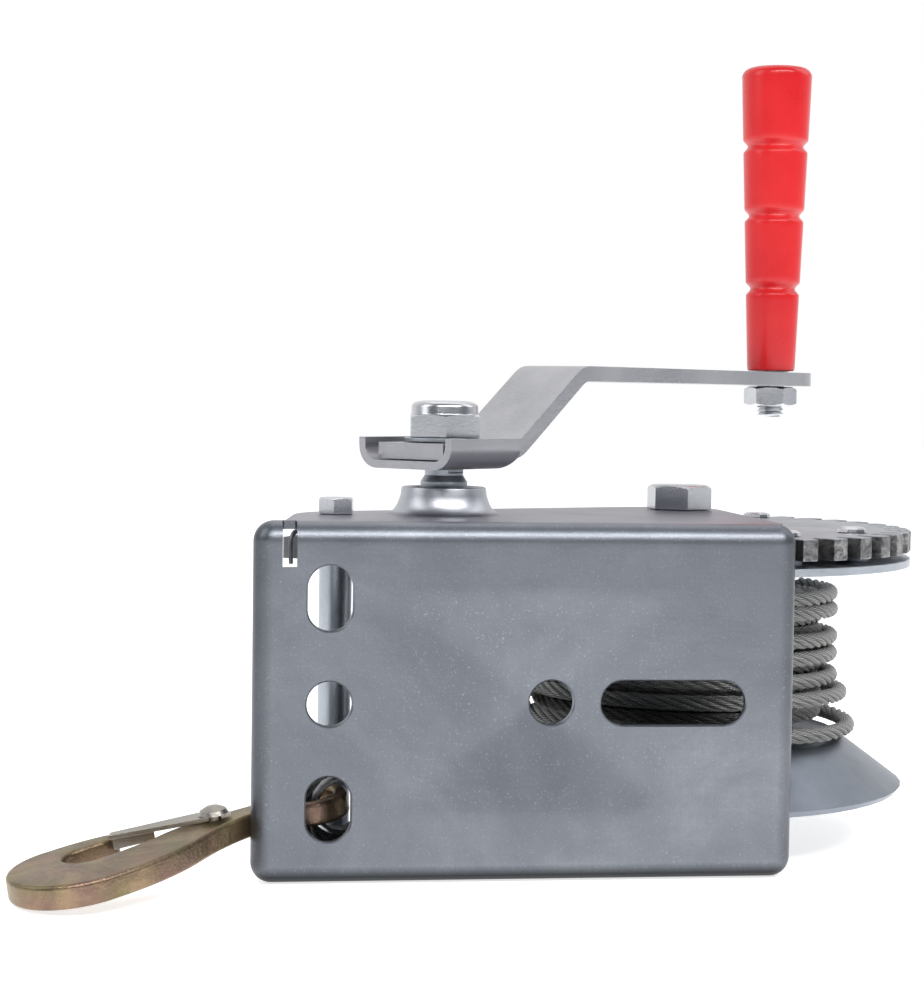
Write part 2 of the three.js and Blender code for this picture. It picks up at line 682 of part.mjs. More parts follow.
// The free length of rope, from the winding on the drum round the crank shaft to the ferrule.
const leadRoute = vectors([
  [7.7, 43, 46.2], [5.9, 36, 44.4], [4.2, 29, 41], [2.2, 21.5, 36], [-0.6, 14.5, 30.8],
  [-4.6, 8.4, 26.4], [-9.8, 3.4, 22.8], [-16, -0.4, 20.4], [-21.2, -2.2, 19.6], [-24.4, -2.78, 19.5],
]);

const ropeLead = () => tube(leadRoute, ropeRadius, 8, 24);

// The loop's own frame: the origin on the hook eye's centre, +X towards the ferrule, +Z up.
const onLoop = (body) => moved(spin(body, loopAngle),
  new THREE.Matrix4().makeTranslation(eyeX, eyeY, eyeZ));

// Half of a teardrop round the loop centre: an arc at the crown, then straight to the ferrule.
function teardrop(radius, endX, endZ) {
  const points = [[endX, 0, endZ]];
  const lean = Math.asin((radius - endZ) / (endX - loopCentre));
  const last = Math.PI * 2 - (Math.PI / 2 - lean);
  const first = Math.PI / 2 - lean;
  for (let i = 0; i <= 12; i += 1) {
    const angle = first + (last - first) * i / 12;
    points.push([loopCentre + radius * Math.cos(angle), 0, radius * Math.sin(angle)]);
  }
  points.push([endX, 0, -endZ]);
  return points;
}

const ropeEye = () => onLoop(tube(vectors(teardrop(11.4, 23.9, 2.9)), ropeRadius, 8, 30));

function ropeThimble() {
  const outline = (radius, endX, endZ) =>
    polygon(teardrop(radius, endX, endZ).map(([x, , z]) => [x, z]));
  const flat = cut(prism(outline(8.4, 21.8, 0.3), -3.2, 3.2), prism(outline(7.2, 20, 0.2), -4, 4));
  return onLoop(moved(flat, new THREE.Matrix4().makeRotationX(Math.PI / 2)));
}

function ropeFerrule() {
  const sleeve = new THREE.CylinderGeometry(4.9, 4.9, 12.6, 20).rotateZ(Math.PI / 2);
  sleeve.scale(1, 0.86, 1.25).translate(32, 0, 0);
  return onLoop(solid(sleeve));
}

// ---- Hook ----

// Hook parts are drawn flat: the eye on the origin, the bowl along +X, the point towards -Y.
const onHook = (body) => moved(body, new THREE.Matrix4().makeTranslation(eyeX, eyeY, eyeZ)
  .multiply(new THREE.Matrix4().makeRotationZ(hookHeading))
  .multiply(new THREE.Matrix4().makeRotationY(hookTilt)));

function hook() {
  const shape = new THREE.Shape();
  const bowlX = 75.5;
  const outer = 19.5;
  shape.absarc(0, 0, 12, 0.4, Math.PI * 2 - 0.5, false);
  shape.quadraticCurveTo(16, -5.8, 27, -6.8);
  shape.quadraticCurveTo(38, -7, 47, -4);
  shape.quadraticCurveTo(56, -0.5, 70, 1);
  shape.absarc(70, -5.5, 6.5, Math.PI / 2, -Math.PI / 2, true);
  shape.quadraticCurveTo(64, -12.6, 58, -12.9);
  shape.quadraticCurveTo(52, -15.5, 57, -18.6);
  shape.quadraticCurveTo(65, -20.6, bowlX, -outer);
  shape.absarc(bowlX, 0, outer, -Math.PI / 2, Math.PI / 2, false);
  shape.quadraticCurveTo(57, 19.2, 42, 10.8);
  shape.quadraticCurveTo(32, 4.8, 22, 3.1);
  shape.lineTo(12 * Math.cos(0.4), 12 * Math.sin(0.4));
  shape.holes.push(circlePath(0, 0, 7.6));
  const options = {
    depth: hookThick - 2.4, bevelEnabled: true, bevelThickness: 1.2, bevelSize: 1.2,
    bevelOffset: -1.2, bevelSegments: 1, curveSegments: 5,
  };
  const body = new THREE.ExtrudeGeometry(shape, options).translate(0, 0, 1.2 - hookThick / 2);
  const rivetHole = rod(2.3, -6, 6, latchPivot[0], latchPivot[1], 12);
  return onHook(cut(solid(body), rivetHole));
}

const latchPivot = [30.5, -1.8];

// A sheet leaf over the neck whose folded edge closes the throat against the point.
function hookLatch() {
  const top = hookThick / 2 + gap;
  const leaf = polygon([[26, 1.1], [26, -5], [31, -7.6], [57.8, -13.6], [60, -11], [35, -1.4]]);
  const plate = prism(leaf, top, top + 1.4);
  const fold = prism(polygon([[46, -10.4], [46.3, -9.2], [58.6, -11.2], [58.5, -12.4]]), 0.5, top + 1);
  return onHook(cut(join(plate, fold), rod(2.3, 3, 8, latchPivot[0], latchPivot[1], 12)));
}

const latchRivet = () => onHook(turned([
  [0, -hookThick / 2], [2, -hookThick / 2], [2, hookThick / 2 + 2], [4.4, hookThick / 2 + 2],
  [3.8, hookThick / 2 + 3.2], [2, hookThick / 2 + 4.1], [0, hookThick / 2 + 4.3],
], ...latchPivot, 16));

// ---- Assembly ----

const winch = new THREE.Group();

function group(...parts) {
  const assembly = new THREE.Group();
  for (const [name, body, material] of parts) {
    const mesh = new THREE.Mesh(geometryOf(body), material);
    mesh.name = name;
    assembly.add(mesh);
  }
  winch.add(assembly);
}

group(
  ['frame', frame(), zinc()],
  ['tie_bar', tieBar(), zinc()],
  ['tie_bar_bolt', tieBolt(), brightZinc()],
  ['tie_bar_screw', tieScrew(), brightZinc()],
  ['upper_shaft_bush', upperBush(), bronze()],
  ['lower_shaft_bush', lowerBush(), bronze()],
  ['drum_axle_bolt', axleBolt(), brightZinc()],
  ['drum_axle_nut', axleNut(), brightZinc()],
  ['drum_axle_washer', axleWasher(), zinc()],
  ['pawl_spring', pawlSpring(), brightZinc()],
  ['pawl_clip', pawlClip(), bareSteel()],
);

group(['pawl', pawl(), bareSteel()]);

group(
  ['drum_tube', drumTube(), zinc()],
  ['upper_flange', upperFlange(), zinc()],
  ['lower_flange', lowerFlange(), zinc()],
  ['drum_gear', drumGear(), zinc()],
  ...rivetPlaces().map((place, i) => [`gear_rivet_${i + 1}`, gearRivet(place), brightZinc()]),
  ['drum_upper_bush', drumUpperBush(), nylon()],
  ['drum_lower_bush', drumLowerBush(), nylon()],
  ['rope_clamp', ropeClamp(), zinc()],
  ...clampBoltSides.map((side, i) => [`rope_clamp_bolt_${i + 1}`, clampBolt(side), brightZinc()]),
  ['rope_tail', ropeTail(), wireRope()],
  ['rope_winding', ropeWinding(), wireRope()],
);

group(
  ['crank_shaft', crankShaft(), zinc()],
  ['drive_pinion', drivePinion(), bareSteel()],
  ['hub_tray', hubTray(), zinc()],
  ['crank_arm', crankArm(), zinc()],
  ['crank_washer', crankWasher(), zinc()],
  ['crank_nut', crankNut(), brightZinc()],
  ['crank_nut_insert', crankNutInsert(), nylon()],
  ['grip_spindle', gripSpindle(), brightZinc()],
  ['grip_nut', gripNut(), brightZinc()],
);

group(['grip', grip(), redPlastic()]);

group(
  ['rope_lead', ropeLead(), wireRope()],
  ['rope_eye', ropeEye(), wireRope()],
  ['rope_thimble', ropeThimble(), zinc()],
  ['rope_ferrule', ropeFerrule(), zinc()],
);

group(
  ['hook', hook(), yellowZinc()],
  ['latch_rivet', latchRivet(), zinc()],
);

group(['hook_latch', hookLatch(), yellowZinc()]);

export default winch;
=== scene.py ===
"""Boat trailer winch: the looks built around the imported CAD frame."""
import math

import bmesh
import bpy
import numpy as np
from mathutils import Matrix, Vector


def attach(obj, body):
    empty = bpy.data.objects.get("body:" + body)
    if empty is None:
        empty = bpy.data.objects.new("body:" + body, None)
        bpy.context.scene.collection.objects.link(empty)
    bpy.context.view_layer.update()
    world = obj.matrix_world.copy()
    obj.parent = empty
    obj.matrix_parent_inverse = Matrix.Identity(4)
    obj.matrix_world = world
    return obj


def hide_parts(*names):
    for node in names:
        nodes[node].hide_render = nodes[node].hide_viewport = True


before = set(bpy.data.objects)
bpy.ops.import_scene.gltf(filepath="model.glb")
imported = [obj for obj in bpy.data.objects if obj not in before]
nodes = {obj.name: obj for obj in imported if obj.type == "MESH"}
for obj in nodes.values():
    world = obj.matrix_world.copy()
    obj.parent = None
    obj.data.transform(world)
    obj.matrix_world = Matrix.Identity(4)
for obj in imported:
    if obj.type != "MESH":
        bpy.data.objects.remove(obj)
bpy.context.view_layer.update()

MM = 0.001

# ---- Sizes, in millimetres, as the CAD has them ----
DRUM = (62.285, 53.157)
CRANK = (-20.25, 17.27)
TIE = (-54.0, 9.0)
PLATE_X = 80.0
PLATE_TOP = 105.0
SHEET = 2.5
FACE_Y = -30.0
LIP_END = -23.0
BEND = 6.0
ARM_ANGLE = math.radians(43.2)
ARM_REACH = 189.4
GRIP = (CRANK[0] + ARM_REACH * math.cos(ARM_ANGLE), CRANK[1] + ARM_REACH * math.sin(ARM_ANGLE))
GRIP_LOW = 152.3
GRIP_TOP = 265.4
ROPE_R = 2.5
ROPE_LAY = 31.0
STRANDS = 6
WRAP_LOW = 36.2
WRAP_HIGH = 79.4
EYE = (-62.5, -9.5, 19.5)
HOOK_HEADING = math.radians(208)
HOOK_TILT = math.radians(9.5)
HOOK_THICKNESS = 7.0
LEAD_ROUTE = [
    (7.7, 43, 46.2), (5.9, 36, 44.4), (4.2, 29, 41), (2.2, 21.5, 36), (-0.6, 14.5, 30.8),
    (-4.6, 8.4, 26.4), (-9.8, 3.4, 22.8), (-16, -0.4, 20.4), (-21.2, -2.2, 19.6), (-24.4, -2.78, 19.5),
]


# ---- Camera ----
def add_camera():
    yaw, pitch, roll = math.radians(-7.3), math.radians(2.78), math.radians(0.85)
    right = Vector((math.cos(yaw), math.sin(yaw), 0))
    forward = Matrix.Rotation(yaw, 3, "Z") @ Vector((0, math.cos(pitch), -math.sin(pitch)))
    up = right.cross(forward)
    side = right * math.cos(roll) + up * math.sin(roll)
    top = up * math.cos(roll) - right * math.sin(roll)
    data = bpy.data.cameras.new("camera")
    data.lens = 79.2
    data.sensor_width = 36
    data.clip_end = 20
    data.shift_x = -0.0024
    camera = bpy.data.objects.new("camera", data)
    camera.matrix_world = Matrix((
        (side.x, top.x, -forward.x, -0.1002),
        (side.y, top.y, -forward.y, -0.6575),
        (side.z, top.z, -forward.z, 0.1423),
        (0, 0, 0, 1),
    ))
    bpy.context.scene.collection.objects.link(camera)
    bpy.context.scene.camera = camera


add_camera()


# ---- Mesh helpers ----
def link(obj):
    bpy.context.scene.collection.objects.link(obj)
    return obj


def mesh_object(name, verts, faces):
    """A smooth-shaded mesh object from millimetre points."""
    mesh = bpy.data.meshes.new(name)
    mesh.from_pydata([tuple(c * MM for c in v) for v in verts], [], faces)
    mesh.validate()
    mesh.polygons.foreach_set("use_smooth", [True] * len(mesh.polygons))
    mesh.update()
    return link(bpy.data.objects.new(name, mesh))


def tidy_normals(obj, angle=32):
    """Welds the mesh, turns its faces outward and keeps edges over the angle sharp."""
    mesh = obj.data
    bm = bmesh.new()
    bm.from_mesh(mesh)
    bmesh.ops.remove_doubles(bm, verts=bm.verts, dist=1e-6)
    bmesh.ops.recalc_face_normals(bm, faces=bm.faces)
    bm.to_mesh(mesh)
    bm.free()
    mesh.polygons.foreach_set("use_smooth", [True] * len(mesh.polygons))
    mesh.set_sharp_from_angle(angle=math.radians(angle))
    mesh.update()
    return obj


def band(low, high):
    """Quads between two rings of vertex numbers."""
    n = len(low)
    return [(low[i], low[(i + 1) % n], high[(i + 1) % n], high[i]) for i in range(n)]


def tube_faces(rings, sides):
    """The faces of a tube whose vertices are numbered ring by ring, with both ends capped."""
    faces = []
    for first in range(0, (rings - 1) * sides, sides):
        faces += band(range(first, first + sides), range(first + sides, first + 2 * sides))
    faces.append(tuple(reversed(range(sides))))
    faces.append(tuple(range((rings - 1) * sides, rings * sides)))
    return faces


def lathe(profile, x=0.0, y=0.0, segments=96):
    """(verts, faces) of a profile of (radius, z) points turned about a vertical line."""
    rings = []
    verts, faces = [], []
    for r, z in profile:
        if r < 1e-6:
            rings.append([len(verts)])
            verts.append((x, y, z))
            continue
        rings.append(list(range(len(verts), len(verts) + segments)))
        for i in range(segments):
            a = 2 * math.pi * i / segments
            verts.append((x + r * math.cos(a), y + r * math.sin(a), z))
    after = [(i + 1) % segments for i in range(segments)]
    for low, high in zip(rings, rings[1:] + rings[:1]):
        if len(low) == 1 and len(high) == 1:
            continue
        if len(low) == 1:
            faces += [(low[0], high[j], high[i]) for i, j in enumerate(after)]
        elif len(high) == 1:
            faces += [(low[i], low[j], high[0]) for i, j in enumerate(after)]
        else:
            faces += band(low, high)
    return verts, faces


def rounded(profile, radius=0.4, steps=3, skip=()):
    """A profile with its corners rounded. Points listed in skip stay sharp."""
    out = []
    n = len(profile)
    for i in range(n):
        p = Vector(profile[i])
        if i in skip:
            out.append(tuple(p))
            continue
        a = Vector(profile[i - 1]) - p
        b = Vector(profile[(i + 1) % n]) - p
        if a.length < 1e-6 or b.length < 1e-6:
            out.append(tuple(p))
            continue
        reach = min(radius, a.length * 0.45, b.length * 0.45)
        start, end = p + a.normalized() * reach, p + b.normalized() * reach
        for k in range(steps + 1):
            t = k / steps
            q = start * (1 - t) ** 2 + p * 2 * t * (1 - t) + end * t * t
            out.append((max(q.x, 0.0), q.y))
    return out


def prism(outline, z0, z1):
    """(verts, faces) of a flat outline raised from z0 to z1."""
    n = len(outline)
    verts = [(x, y, z0) for x, y in outline] + [(x, y, z1) for x, y in outline]
    faces = [tuple(reversed(range(n))), tuple(range(n, 2 * n))]
    faces += [(i, (i + 1) % n, n + (i + 1) % n, n + i) for i in range(n)]
    return verts, faces


def body_from(shape, name="tool"):
    return tidy_normals(mesh_object(name, *shape))


def boolean(obj, tool, operation="DIFFERENCE"):
    """Joins, cuts or intersects obj with the tool, and removes the tool."""
    mod = obj.modifiers.new("cut", "BOOLEAN")
    mod.operation = operation
    mod.solver = "EXACT"
    mod.object = tool
    depsgraph = bpy.context.evaluated_depsgraph_get()
    made = bpy.data.meshes.new_from_object(obj.evaluated_get(depsgraph))
    obj.modifiers.remove(mod)
    old = obj.data
    obj.data = made
    bpy.data.meshes.remove(old)
    bpy.data.objects.remove(tool)
    return obj


def catmull(points, per_span=12):
    """A smooth curve through the points."""
    pts = [Vector(p) for p in points]
    pts = [pts[0] * 2 - pts[1]] + pts + [pts[-1] * 2 - pts[-2]]
    out = []
    for i in range(1, len(pts) - 2):
        p0, p1, p2, p3 = pts[i - 1:i + 3]
        for k in range(per_span):
            t = k / per_span
            out.append(0.5 * ((2 * p1) + (p2 - p0) * t + (2 * p0 - 5 * p1 + 4 * p2 - p3) * t * t
                              + (3 * p1 - p0 - 3 * p2 + p3) * t ** 3))
    out.append(pts[-2])
    return out


def resample(points, step):
    """Even points along a path, and how far along it each one is."""
    pts = np.array([tuple(p) for p in points], float)
    seg = np.linalg.norm(np.diff(pts, axis=0), axis=1)
    run = np.concatenate([[0], np.cumsum(seg)])
    count = max(2, int(round(run[-1] / step)) + 1)
    at = np.linspace(0, run[-1], count)
    return np.stack([np.interp(at, run, pts[:, k]) for k in range(3)], 1), at


def path_frames(pts):
    """Tangents and turning-free normals along a path."""
    tangents = np.gradient(pts, axis=0)
    tangents /= np.linalg.norm(tangents, axis=1)[:, None]
    first = np.array([0.0, 0.0, 1.0])
    if abs(tangents[0] @ first) > 0.9:
        first = np.array([1.0, 0.0, 0.0])
    normal = first - tangents[0] * (first @ tangents[0])
    normal /= np.linalg.norm(normal)
    normals = [normal]
    for t in tangents[1:]:
        normal = normal - t * (normal @ t)
        normal /= np.linalg.norm(normal)
        normals.append(normal)
    normals = np.array(normals)
    return tangents, normals, np.cross(tangents, normals)


def wire_rope(name, points, phase=0.0):
    """A stranded rope along a path: a six-lobed section that twists as it goes."""
    pts, at = resample(points, 1.35)
    _, n1, n2 = path_frames(pts)
    strand = ROPE_R / 3
    orbit = ROPE_R - strand
    local = np.radians([-29, -20, -8, 8, 20])
    reach = orbit * np.cos(local) + np.sqrt(np.maximum(strand ** 2 - (orbit * np.sin(local)) ** 2, 0))
    angles = np.concatenate([local + 2 * math.pi * k / STRANDS for k in range(STRANDS)])
    radii = np.tile(reach, STRANDS)
    crest = np.tile((reach - reach.min()) / (reach.max() - reach.min()), STRANDS)
    sides = len(angles)
    twist = phase + 2 * math.pi * at / ROPE_LAY
    turn = angles[None, :] + twist[:, None]
    verts = (pts[:, None, :] + radii[None, :, None] * (
        np.cos(turn)[:, :, None] * n1[:, None, :] + np.sin(turn)[:, :, None] * n2[:, None, :]))
    obj = mesh_object(name, verts.reshape(-1, 3).tolist(), tube_faces(len(pts), sides))
    groove = obj.data.attributes.new("groove", "FLOAT", "POINT")
    groove.data.foreach_set("value", np.tile(crest, len(pts)).astype(np.float32))
    uv = obj.data.uv_layers.new(name="UVMap")
    loops = np.zeros(len(obj.data.loops), np.int32)
    obj.data.loops.foreach_get("vertex_index", loops)
    ring, col = loops // sides, loops % sides
    v = turn[ring, col] / (2 * math.pi)
    wrap = (col == 0) & (np.arange(len(loops)) % 4 % 3 != 0)
    v = v + np.where(wrap, 1.0, 0.0)
    coords = np.stack([at[ring] * MM, v], 1).astype(np.float32)
    uv.data.foreach_set("uv", coords.reshape(-1))
    return obj


# ---- Materials ----
class Nodes:
    """A short way to build a material's nodes."""

    def __init__(self, name):
        self.material = bpy.data.materials.new(name)
        self.material.use_nodes = True
        self.tree = self.material.node_tree
        self.shader = self.tree.nodes["Principled BSDF"]
        self.coord = self.tree.nodes.new("ShaderNodeTexCoord")

    def node(self, kind, inputs=None, **settings):
        made = self.tree.nodes.new(kind)
        for key, value in settings.items():
            setattr(made, key, value)
        for key, value in (inputs or {}).items():
            self.put(made.inputs[key], value)
        return made

    def put(self, socket, value):
        if isinstance(value, bpy.types.NodeSocket):
            self.tree.links.new(value, socket)
        elif socket.type == "RGBA" and len(value) == 3:
            socket.default_value = (*value, 1)
        else:
            socket.default_value = value

    def place(self, scale=(1, 1, 1), turn=(0, 0, 0)):
        return self.node("ShaderNodeMapping", {
            "Vector": self.coord.outputs["Object"], "Scale": scale, "Rotation": turn}).outputs[0]

    def noise(self, scale, detail=3.0, rough=0.5, vector=None, distortion=0.0):
        return self.node("ShaderNodeTexNoise", {
            "Vector": vector or self.coord.outputs["Object"], "Scale": scale, "Detail": detail,
            "Roughness": rough, "Distortion": distortion}).outputs[0]

    def ramp(self, value, stops):
        made = self.node("ShaderNodeValToRGB", {"Fac": value})
        ramp = made.color_ramp
        while len(ramp.elements) < len(stops):
            ramp.elements.new(0.5)
        for element, (at, colour) in zip(ramp.elements, stops):
            element.position = at
            if not isinstance(colour, (tuple, list)):
                colour = (colour, colour, colour)
            element.color = (*colour, 1)
        return made.outputs[0]

    def spread(self, value, low, high):
        """The value, which runs from 0 to 1, spread between low and high."""
        return self.node("ShaderNodeMapRange", {"Value": value, "To Min": low, "To Max": high}).outputs[0]

    def mix(self, fac, a, b):
        made = self.node("ShaderNodeMix", data_type="RGBA", blend_type="MIX")
        self.put(made.inputs[0], fac)
        self.put(made.inputs[6], a)
        self.put(made.inputs[7], b)
        return made.outputs[2]

    def math(self, operation, a, b=0.0, c=0.0):
        made = self.node("ShaderNodeMath", operation=operation)
        for socket, value in zip(made.inputs, (a, b, c)):
            self.put(socket, value)
        return made.outputs[0]

    def bump(self, height, strength, distance, normal=None):
        inputs = {"Height": height, "Strength": strength, "Distance": distance}
        if normal is not None:
            inputs["Normal"] = normal
        return self.node("ShaderNodeBump", inputs).outputs[0]

    def finish(self, colour=None, rough=None, normal=None, metallic=None):
        for key, value in (("Base Color", colour), ("Roughness", rough), ("Normal", normal),
                           ("Metallic", metallic)):
            if value is not None:
                self.put(self.shader.inputs[key], value)
        return self.material


def plated(name, light, dark, rough=(0.3, 0.46), grain=1.0):
    """Zinc plated steel: cloudy tone, fine drawn grain, small scratches and a mottled roughness."""
    m = Nodes(name)
    cloud = m.noise(26, 4, 0.6)
    tone = m.ramp(cloud, [(0.32, dark), (0.68, light)])
    fine = m.noise(900, 2, 0.6, m.place())
    colour = m.mix(m.ramp(fine, [(0.3, 0.0), (0.75, 0.3)]), tone, light)
    mottled = m.spread(m.noise(60, 5, 0.65), *rough)
    scratch = m.noise(260, 3, 0.7, m.place((1, 1, 14), (0.3, 0.2, 0)))
    height = m.math("ADD", fine, m.math("MULTIPLY", scratch, 0.5))
    normal = m.bump(height, 0.16 * grain, 0.0004)
    wide = m.bump(m.noise(48, 2, 0.5), 0.12 * grain, 0.002, normal)
    return m.finish(colour, mottled, wide, 1.0)


def plate_material():
    """The frame: drawn grain down and across, blotches of blue-grey and pale grey.

    Its low and side edges carry painted shade near black, the ear's top is painted lighter with a mauve tint
    as painted light, and the boss on it is painted paler as a painted highlight.
    """
    m = Nodes("plate_zinc")
    blotch = m.ramp(m.noise(17, 5, 0.62, distortion=0.6),
                    [(0.3, (0.15, 0.16, 0.18)), (0.52, (0.205, 0.22, 0.245)), (0.72, (0.285, 0.295, 0.32))])
    down = m.noise(620, 2, 0.6, m.place((1, 1, 0.06)))
    across = m.noise(620, 2, 0.6, m.place((0.06, 1, 1)))
    weave = m.math("MULTIPLY_ADD", down, 0.3, m.math("MULTIPLY", across, 0.22))
    weave = m.math("MULTIPLY_ADD", m.noise(760, 3, 0.65), 0.48, weave)
    colour = m.mix(m.ramp(weave, [(0.38, 0.42), (0.62, 0.0)]), blotch, (0.18, 0.195, 0.22, 1))
    speck = m.ramp(m.noise(1500, 2, 0.5), [(0.60, 0.0), (0.78, 0.35)])
    colour = m.mix(speck, colour, (0.52, 0.54, 0.57, 1))
    split = m.node("ShaderNodeSeparateXYZ", {"Vector": m.coord.outputs["Object"]})
    # Painted shade: the low edge and the side edges are painted near black, standing in for the dark
    # reflection and shadow along the bends.
    low = m.ramp(m.math("MULTIPLY", split.outputs[2], 100.0), [(0.2, 0.97), (0.55, 0.0)])
    side = m.math("ABSOLUTE", split.outputs[0])
    side = m.ramp(m.math("MULTIPLY_ADD", side, 100.0, -7.4), [(0.05, 0.0), (0.52, 0.6)])
    colour = m.mix(m.math("MAXIMUM", low, side), colour, (0.025, 0.027, 0.03, 1))
    # Painted light: the ear's top is painted lighter with a mauve tint, and the boss on it paler still as a
    # painted highlight.
    height = m.math("MULTIPLY_ADD", split.outputs[2], 100.0, -10.4)
    colour = m.mix(m.ramp(height, [(0.05, 0.0), (0.09, 0.35)]), colour, (0.36, 0.32, 0.38, 1))
    colour = m.mix(m.ramp(height, [(0.13, 0.0), (0.2, 0.75)]), colour, (0.58, 0.60, 0.63, 1))
    rough = m.spread(m.noise(34, 5, 0.6), 0.30, 0.44)
    rough = m.math("ADD", rough, m.math("MULTIPLY", m.noise(1100, 2, 0.5), 0.06))
    normal = m.bump(weave, 0.22, 0.0003)
    normal = m.bump(m.noise(30, 3, 0.5), 0.10, 0.003, normal)
    return m.finish(colour, rough, normal, 1.0)


def chromate_material():
    """Yellow chromate over cast steel: brown and straw patches, faint pink and green, a bright grain."""
    m = Nodes("yellow_chromate")
    patch = m.ramp(m.noise(55, 5, 0.65, distortion=0.8), [
        (0.25, (0.07, 0.05, 0.035)), (0.45, (0.17, 0.125, 0.08)), (0.6, (0.29, 0.215, 0.115)),
        (0.78, (0.27, 0.17, 0.15))])
    tint = m.ramp(m.noise(90, 3, 0.5), [(0.35, (0.34, 0.19, 0.18)), (0.65, (0.27, 0.25, 0.12))])
    colour = m.mix(0.3, patch, tint)
    grain = m.noise(1300, 2, 0.6)
    colour = m.mix(m.ramp(grain, [(0.6, 0.0), (0.76, 0.22)]), colour, (0.70, 0.60, 0.42, 1))
    rough = m.spread(m.noise(70, 4, 0.6), 0.30, 0.5)
    normal = m.bump(grain, 0.35, 0.0004)
    normal = m.bump(m.noise(210, 3, 0.6), 0.22, 0.0012, normal)
    return m.finish(colour, rough, normal, 0.95)


def rope_material(name="rope_wire", light=(0.44, 0.435, 0.42), dark=(0.07, 0.07, 0.07)):
    """Galvanised wire rope: fine wires lie along the rope, with painted shade between the wires and darker
    painted shade in the grooves between strands.
    """
    m = Nodes(name)
    uv = m.node("ShaderNodeUVMap").outputs[0]
    split = m.node("ShaderNodeSeparateXYZ", {"Vector": uv})
    along, around = split.outputs[0], split.outputs[1]
    phase = m.math("ADD", m.math("MULTIPLY", around, 24 * 2 * math.pi), m.math("MULTIPLY", along, 900.0))
    wires = m.math("MULTIPLY_ADD", m.math("SINE", phase), 0.5, 0.5)
    groove = m.node("ShaderNodeAttribute", attribute_name="groove").outputs["Fac"]
    # Painted shade: the grooves between strands are painted nearly black and the gaps between wires darker.
    shade = m.math("MULTIPLY", m.ramp(groove, [(0.0, 0.10), (0.45, 0.85), (1.0, 1.0)]),
                   m.math("MULTIPLY_ADD", wires, 0.6, 0.4))
    cloud = m.noise(120, 4, 0.6)
    tone = m.mix(m.ramp(cloud, [(0.35, 0.0), (0.7, 0.4)]), (*light, 1), (0.40, 0.40, 0.39, 1))
    colour = m.mix(shade, (*dark, 1), tone)
    rough = m.spread(cloud, 0.36, 0.55)
    normal = m.bump(wires, 0.8, 0.0004)
    return m.finish(colour, rough, normal, 0.9)


def plastic_material():
    """Moulded red plastic: glossy, slightly cloudy, with handling scuffs."""
    m = Nodes("red_plastic")
    cloud = m.noise(40, 3, 0.5)
    colour = m.ramp(cloud, [(0.3, (0.56, 0.010, 0.014)), (0.7, (0.66, 0.018, 0.020))])
    scuff = m.ramp(m.noise(240, 4, 0.7, m.place((1, 1, 0.25))), [(0.66, 0.0), (0.74, 1.0)])
    rough = m.math("MULTIPLY_ADD", scuff, 0.16, 0.24)
    rough = m.math("ADD", rough, m.math("MULTIPLY", cloud, 0.08))
    normal = m.bump(m.noise(700, 2, 0.5), 0.05, 0.0004)
    normal = m.bump(m.noise(60, 2, 0.5), 0.06, 0.002, normal)
    m.shader.inputs["IOR"].default_value = 1.5
    return m.finish(colour, rough, normal, 0.0)


def nylon_material():
    """Off-white nylon, slightly cloudy."""
    m = Nodes("nylon")
    cloud = m.noise(150, 3, 0.5)
    colour = m.ramp(cloud, [(0.3, (0.62, 0.61, 0.56)), (0.7, (0.74, 0.73, 0.68))])
    rough = m.spread(cloud, 0.4, 0.55)
    return m.finish(colour, rough, m.bump(cloud, 0.1, 0.0005), 0.0)


ZINC = plated("zinc", (0.47, 0.50, 0.54), (0.33, 0.36, 0.39))
BRIGHT = plated("bright_zinc", (0.66, 0.67, 0.69), (0.48, 0.49, 0.51), (0.2, 0.34), 0.25)
# Painted shade: a darker copy of the zinc, for the lower flange, standing in for the dimmer light on it.
ZINC_PAINTED_SHADE = plated("zinc_painted_shade", (0.27, 0.295, 0.335), (0.17, 0.19, 0.22), (0.32, 0.46))
ARM = plated("arm_zinc", (0.47, 0.47, 0.49), (0.34, 0.34, 0.36), (0.28, 0.42), 0.9)
DARK = plated("dull_steel", (0.30, 0.30, 0.31), (0.18, 0.18, 0.19), (0.38, 0.55), 1.2)
LATCH = plated("latch_steel", (0.44, 0.41, 0.37), (0.26, 0.24, 0.21), (0.3, 0.5), 1.2)


def gear_material():
    """Plated gear: pale flat faces, and dark, rough, chipped cut edges round the teeth."""
    m = Nodes("gear_zinc")
    face = m.ramp(m.noise(40, 4, 0.6), [(0.3, (0.26, 0.275, 0.30)), (0.7, (0.40, 0.42, 0.45))])
    cut = m.ramp(m.noise(210, 5, 0.75, distortion=1.0), [
        (0.36, (0.08, 0.08, 0.088)), (0.55, (0.24, 0.24, 0.24)), (0.72, (0.58, 0.56, 0.52))])
    split = m.node("ShaderNodeSeparateXYZ", {"Vector": m.coord.outputs["Normal"]})
    flat = m.ramp(m.math("ABSOLUTE", split.outputs[2]), [(0.45, 0.0), (0.7, 1.0)])
    colour = m.mix(flat, cut, face)
    rough = m.spread(m.noise(120, 5, 0.7), 0.28, 0.5)
    normal = m.bump(m.noise(420, 4, 0.7), 0.5, 0.0006)
    return m.finish(colour, rough, normal, 1.0)


GEAR = gear_material()
BRONZE = plated("bronze", (0.50, 0.38, 0.20), (0.36, 0.26, 0.13), (0.3, 0.45), 1.0)
PLATE = plate_material()
CHROMATE = chromate_material()
ROPE = rope_material()
DARK_ROPE = rope_material("rope_lead_wire", (0.34, 0.34, 0.35), (0.07, 0.07, 0.08))
RED = plastic_material()
NYLON = nylon_material()


def dress(obj, body, material, replaces=()):
    """Gives a new piece its material and its body, and hides the nodes that it stands for."""
    obj.data.materials.clear()
    obj.data.materials.append(material)
    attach(obj, body)
    if replaces:
        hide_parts(*replaces)
    return obj


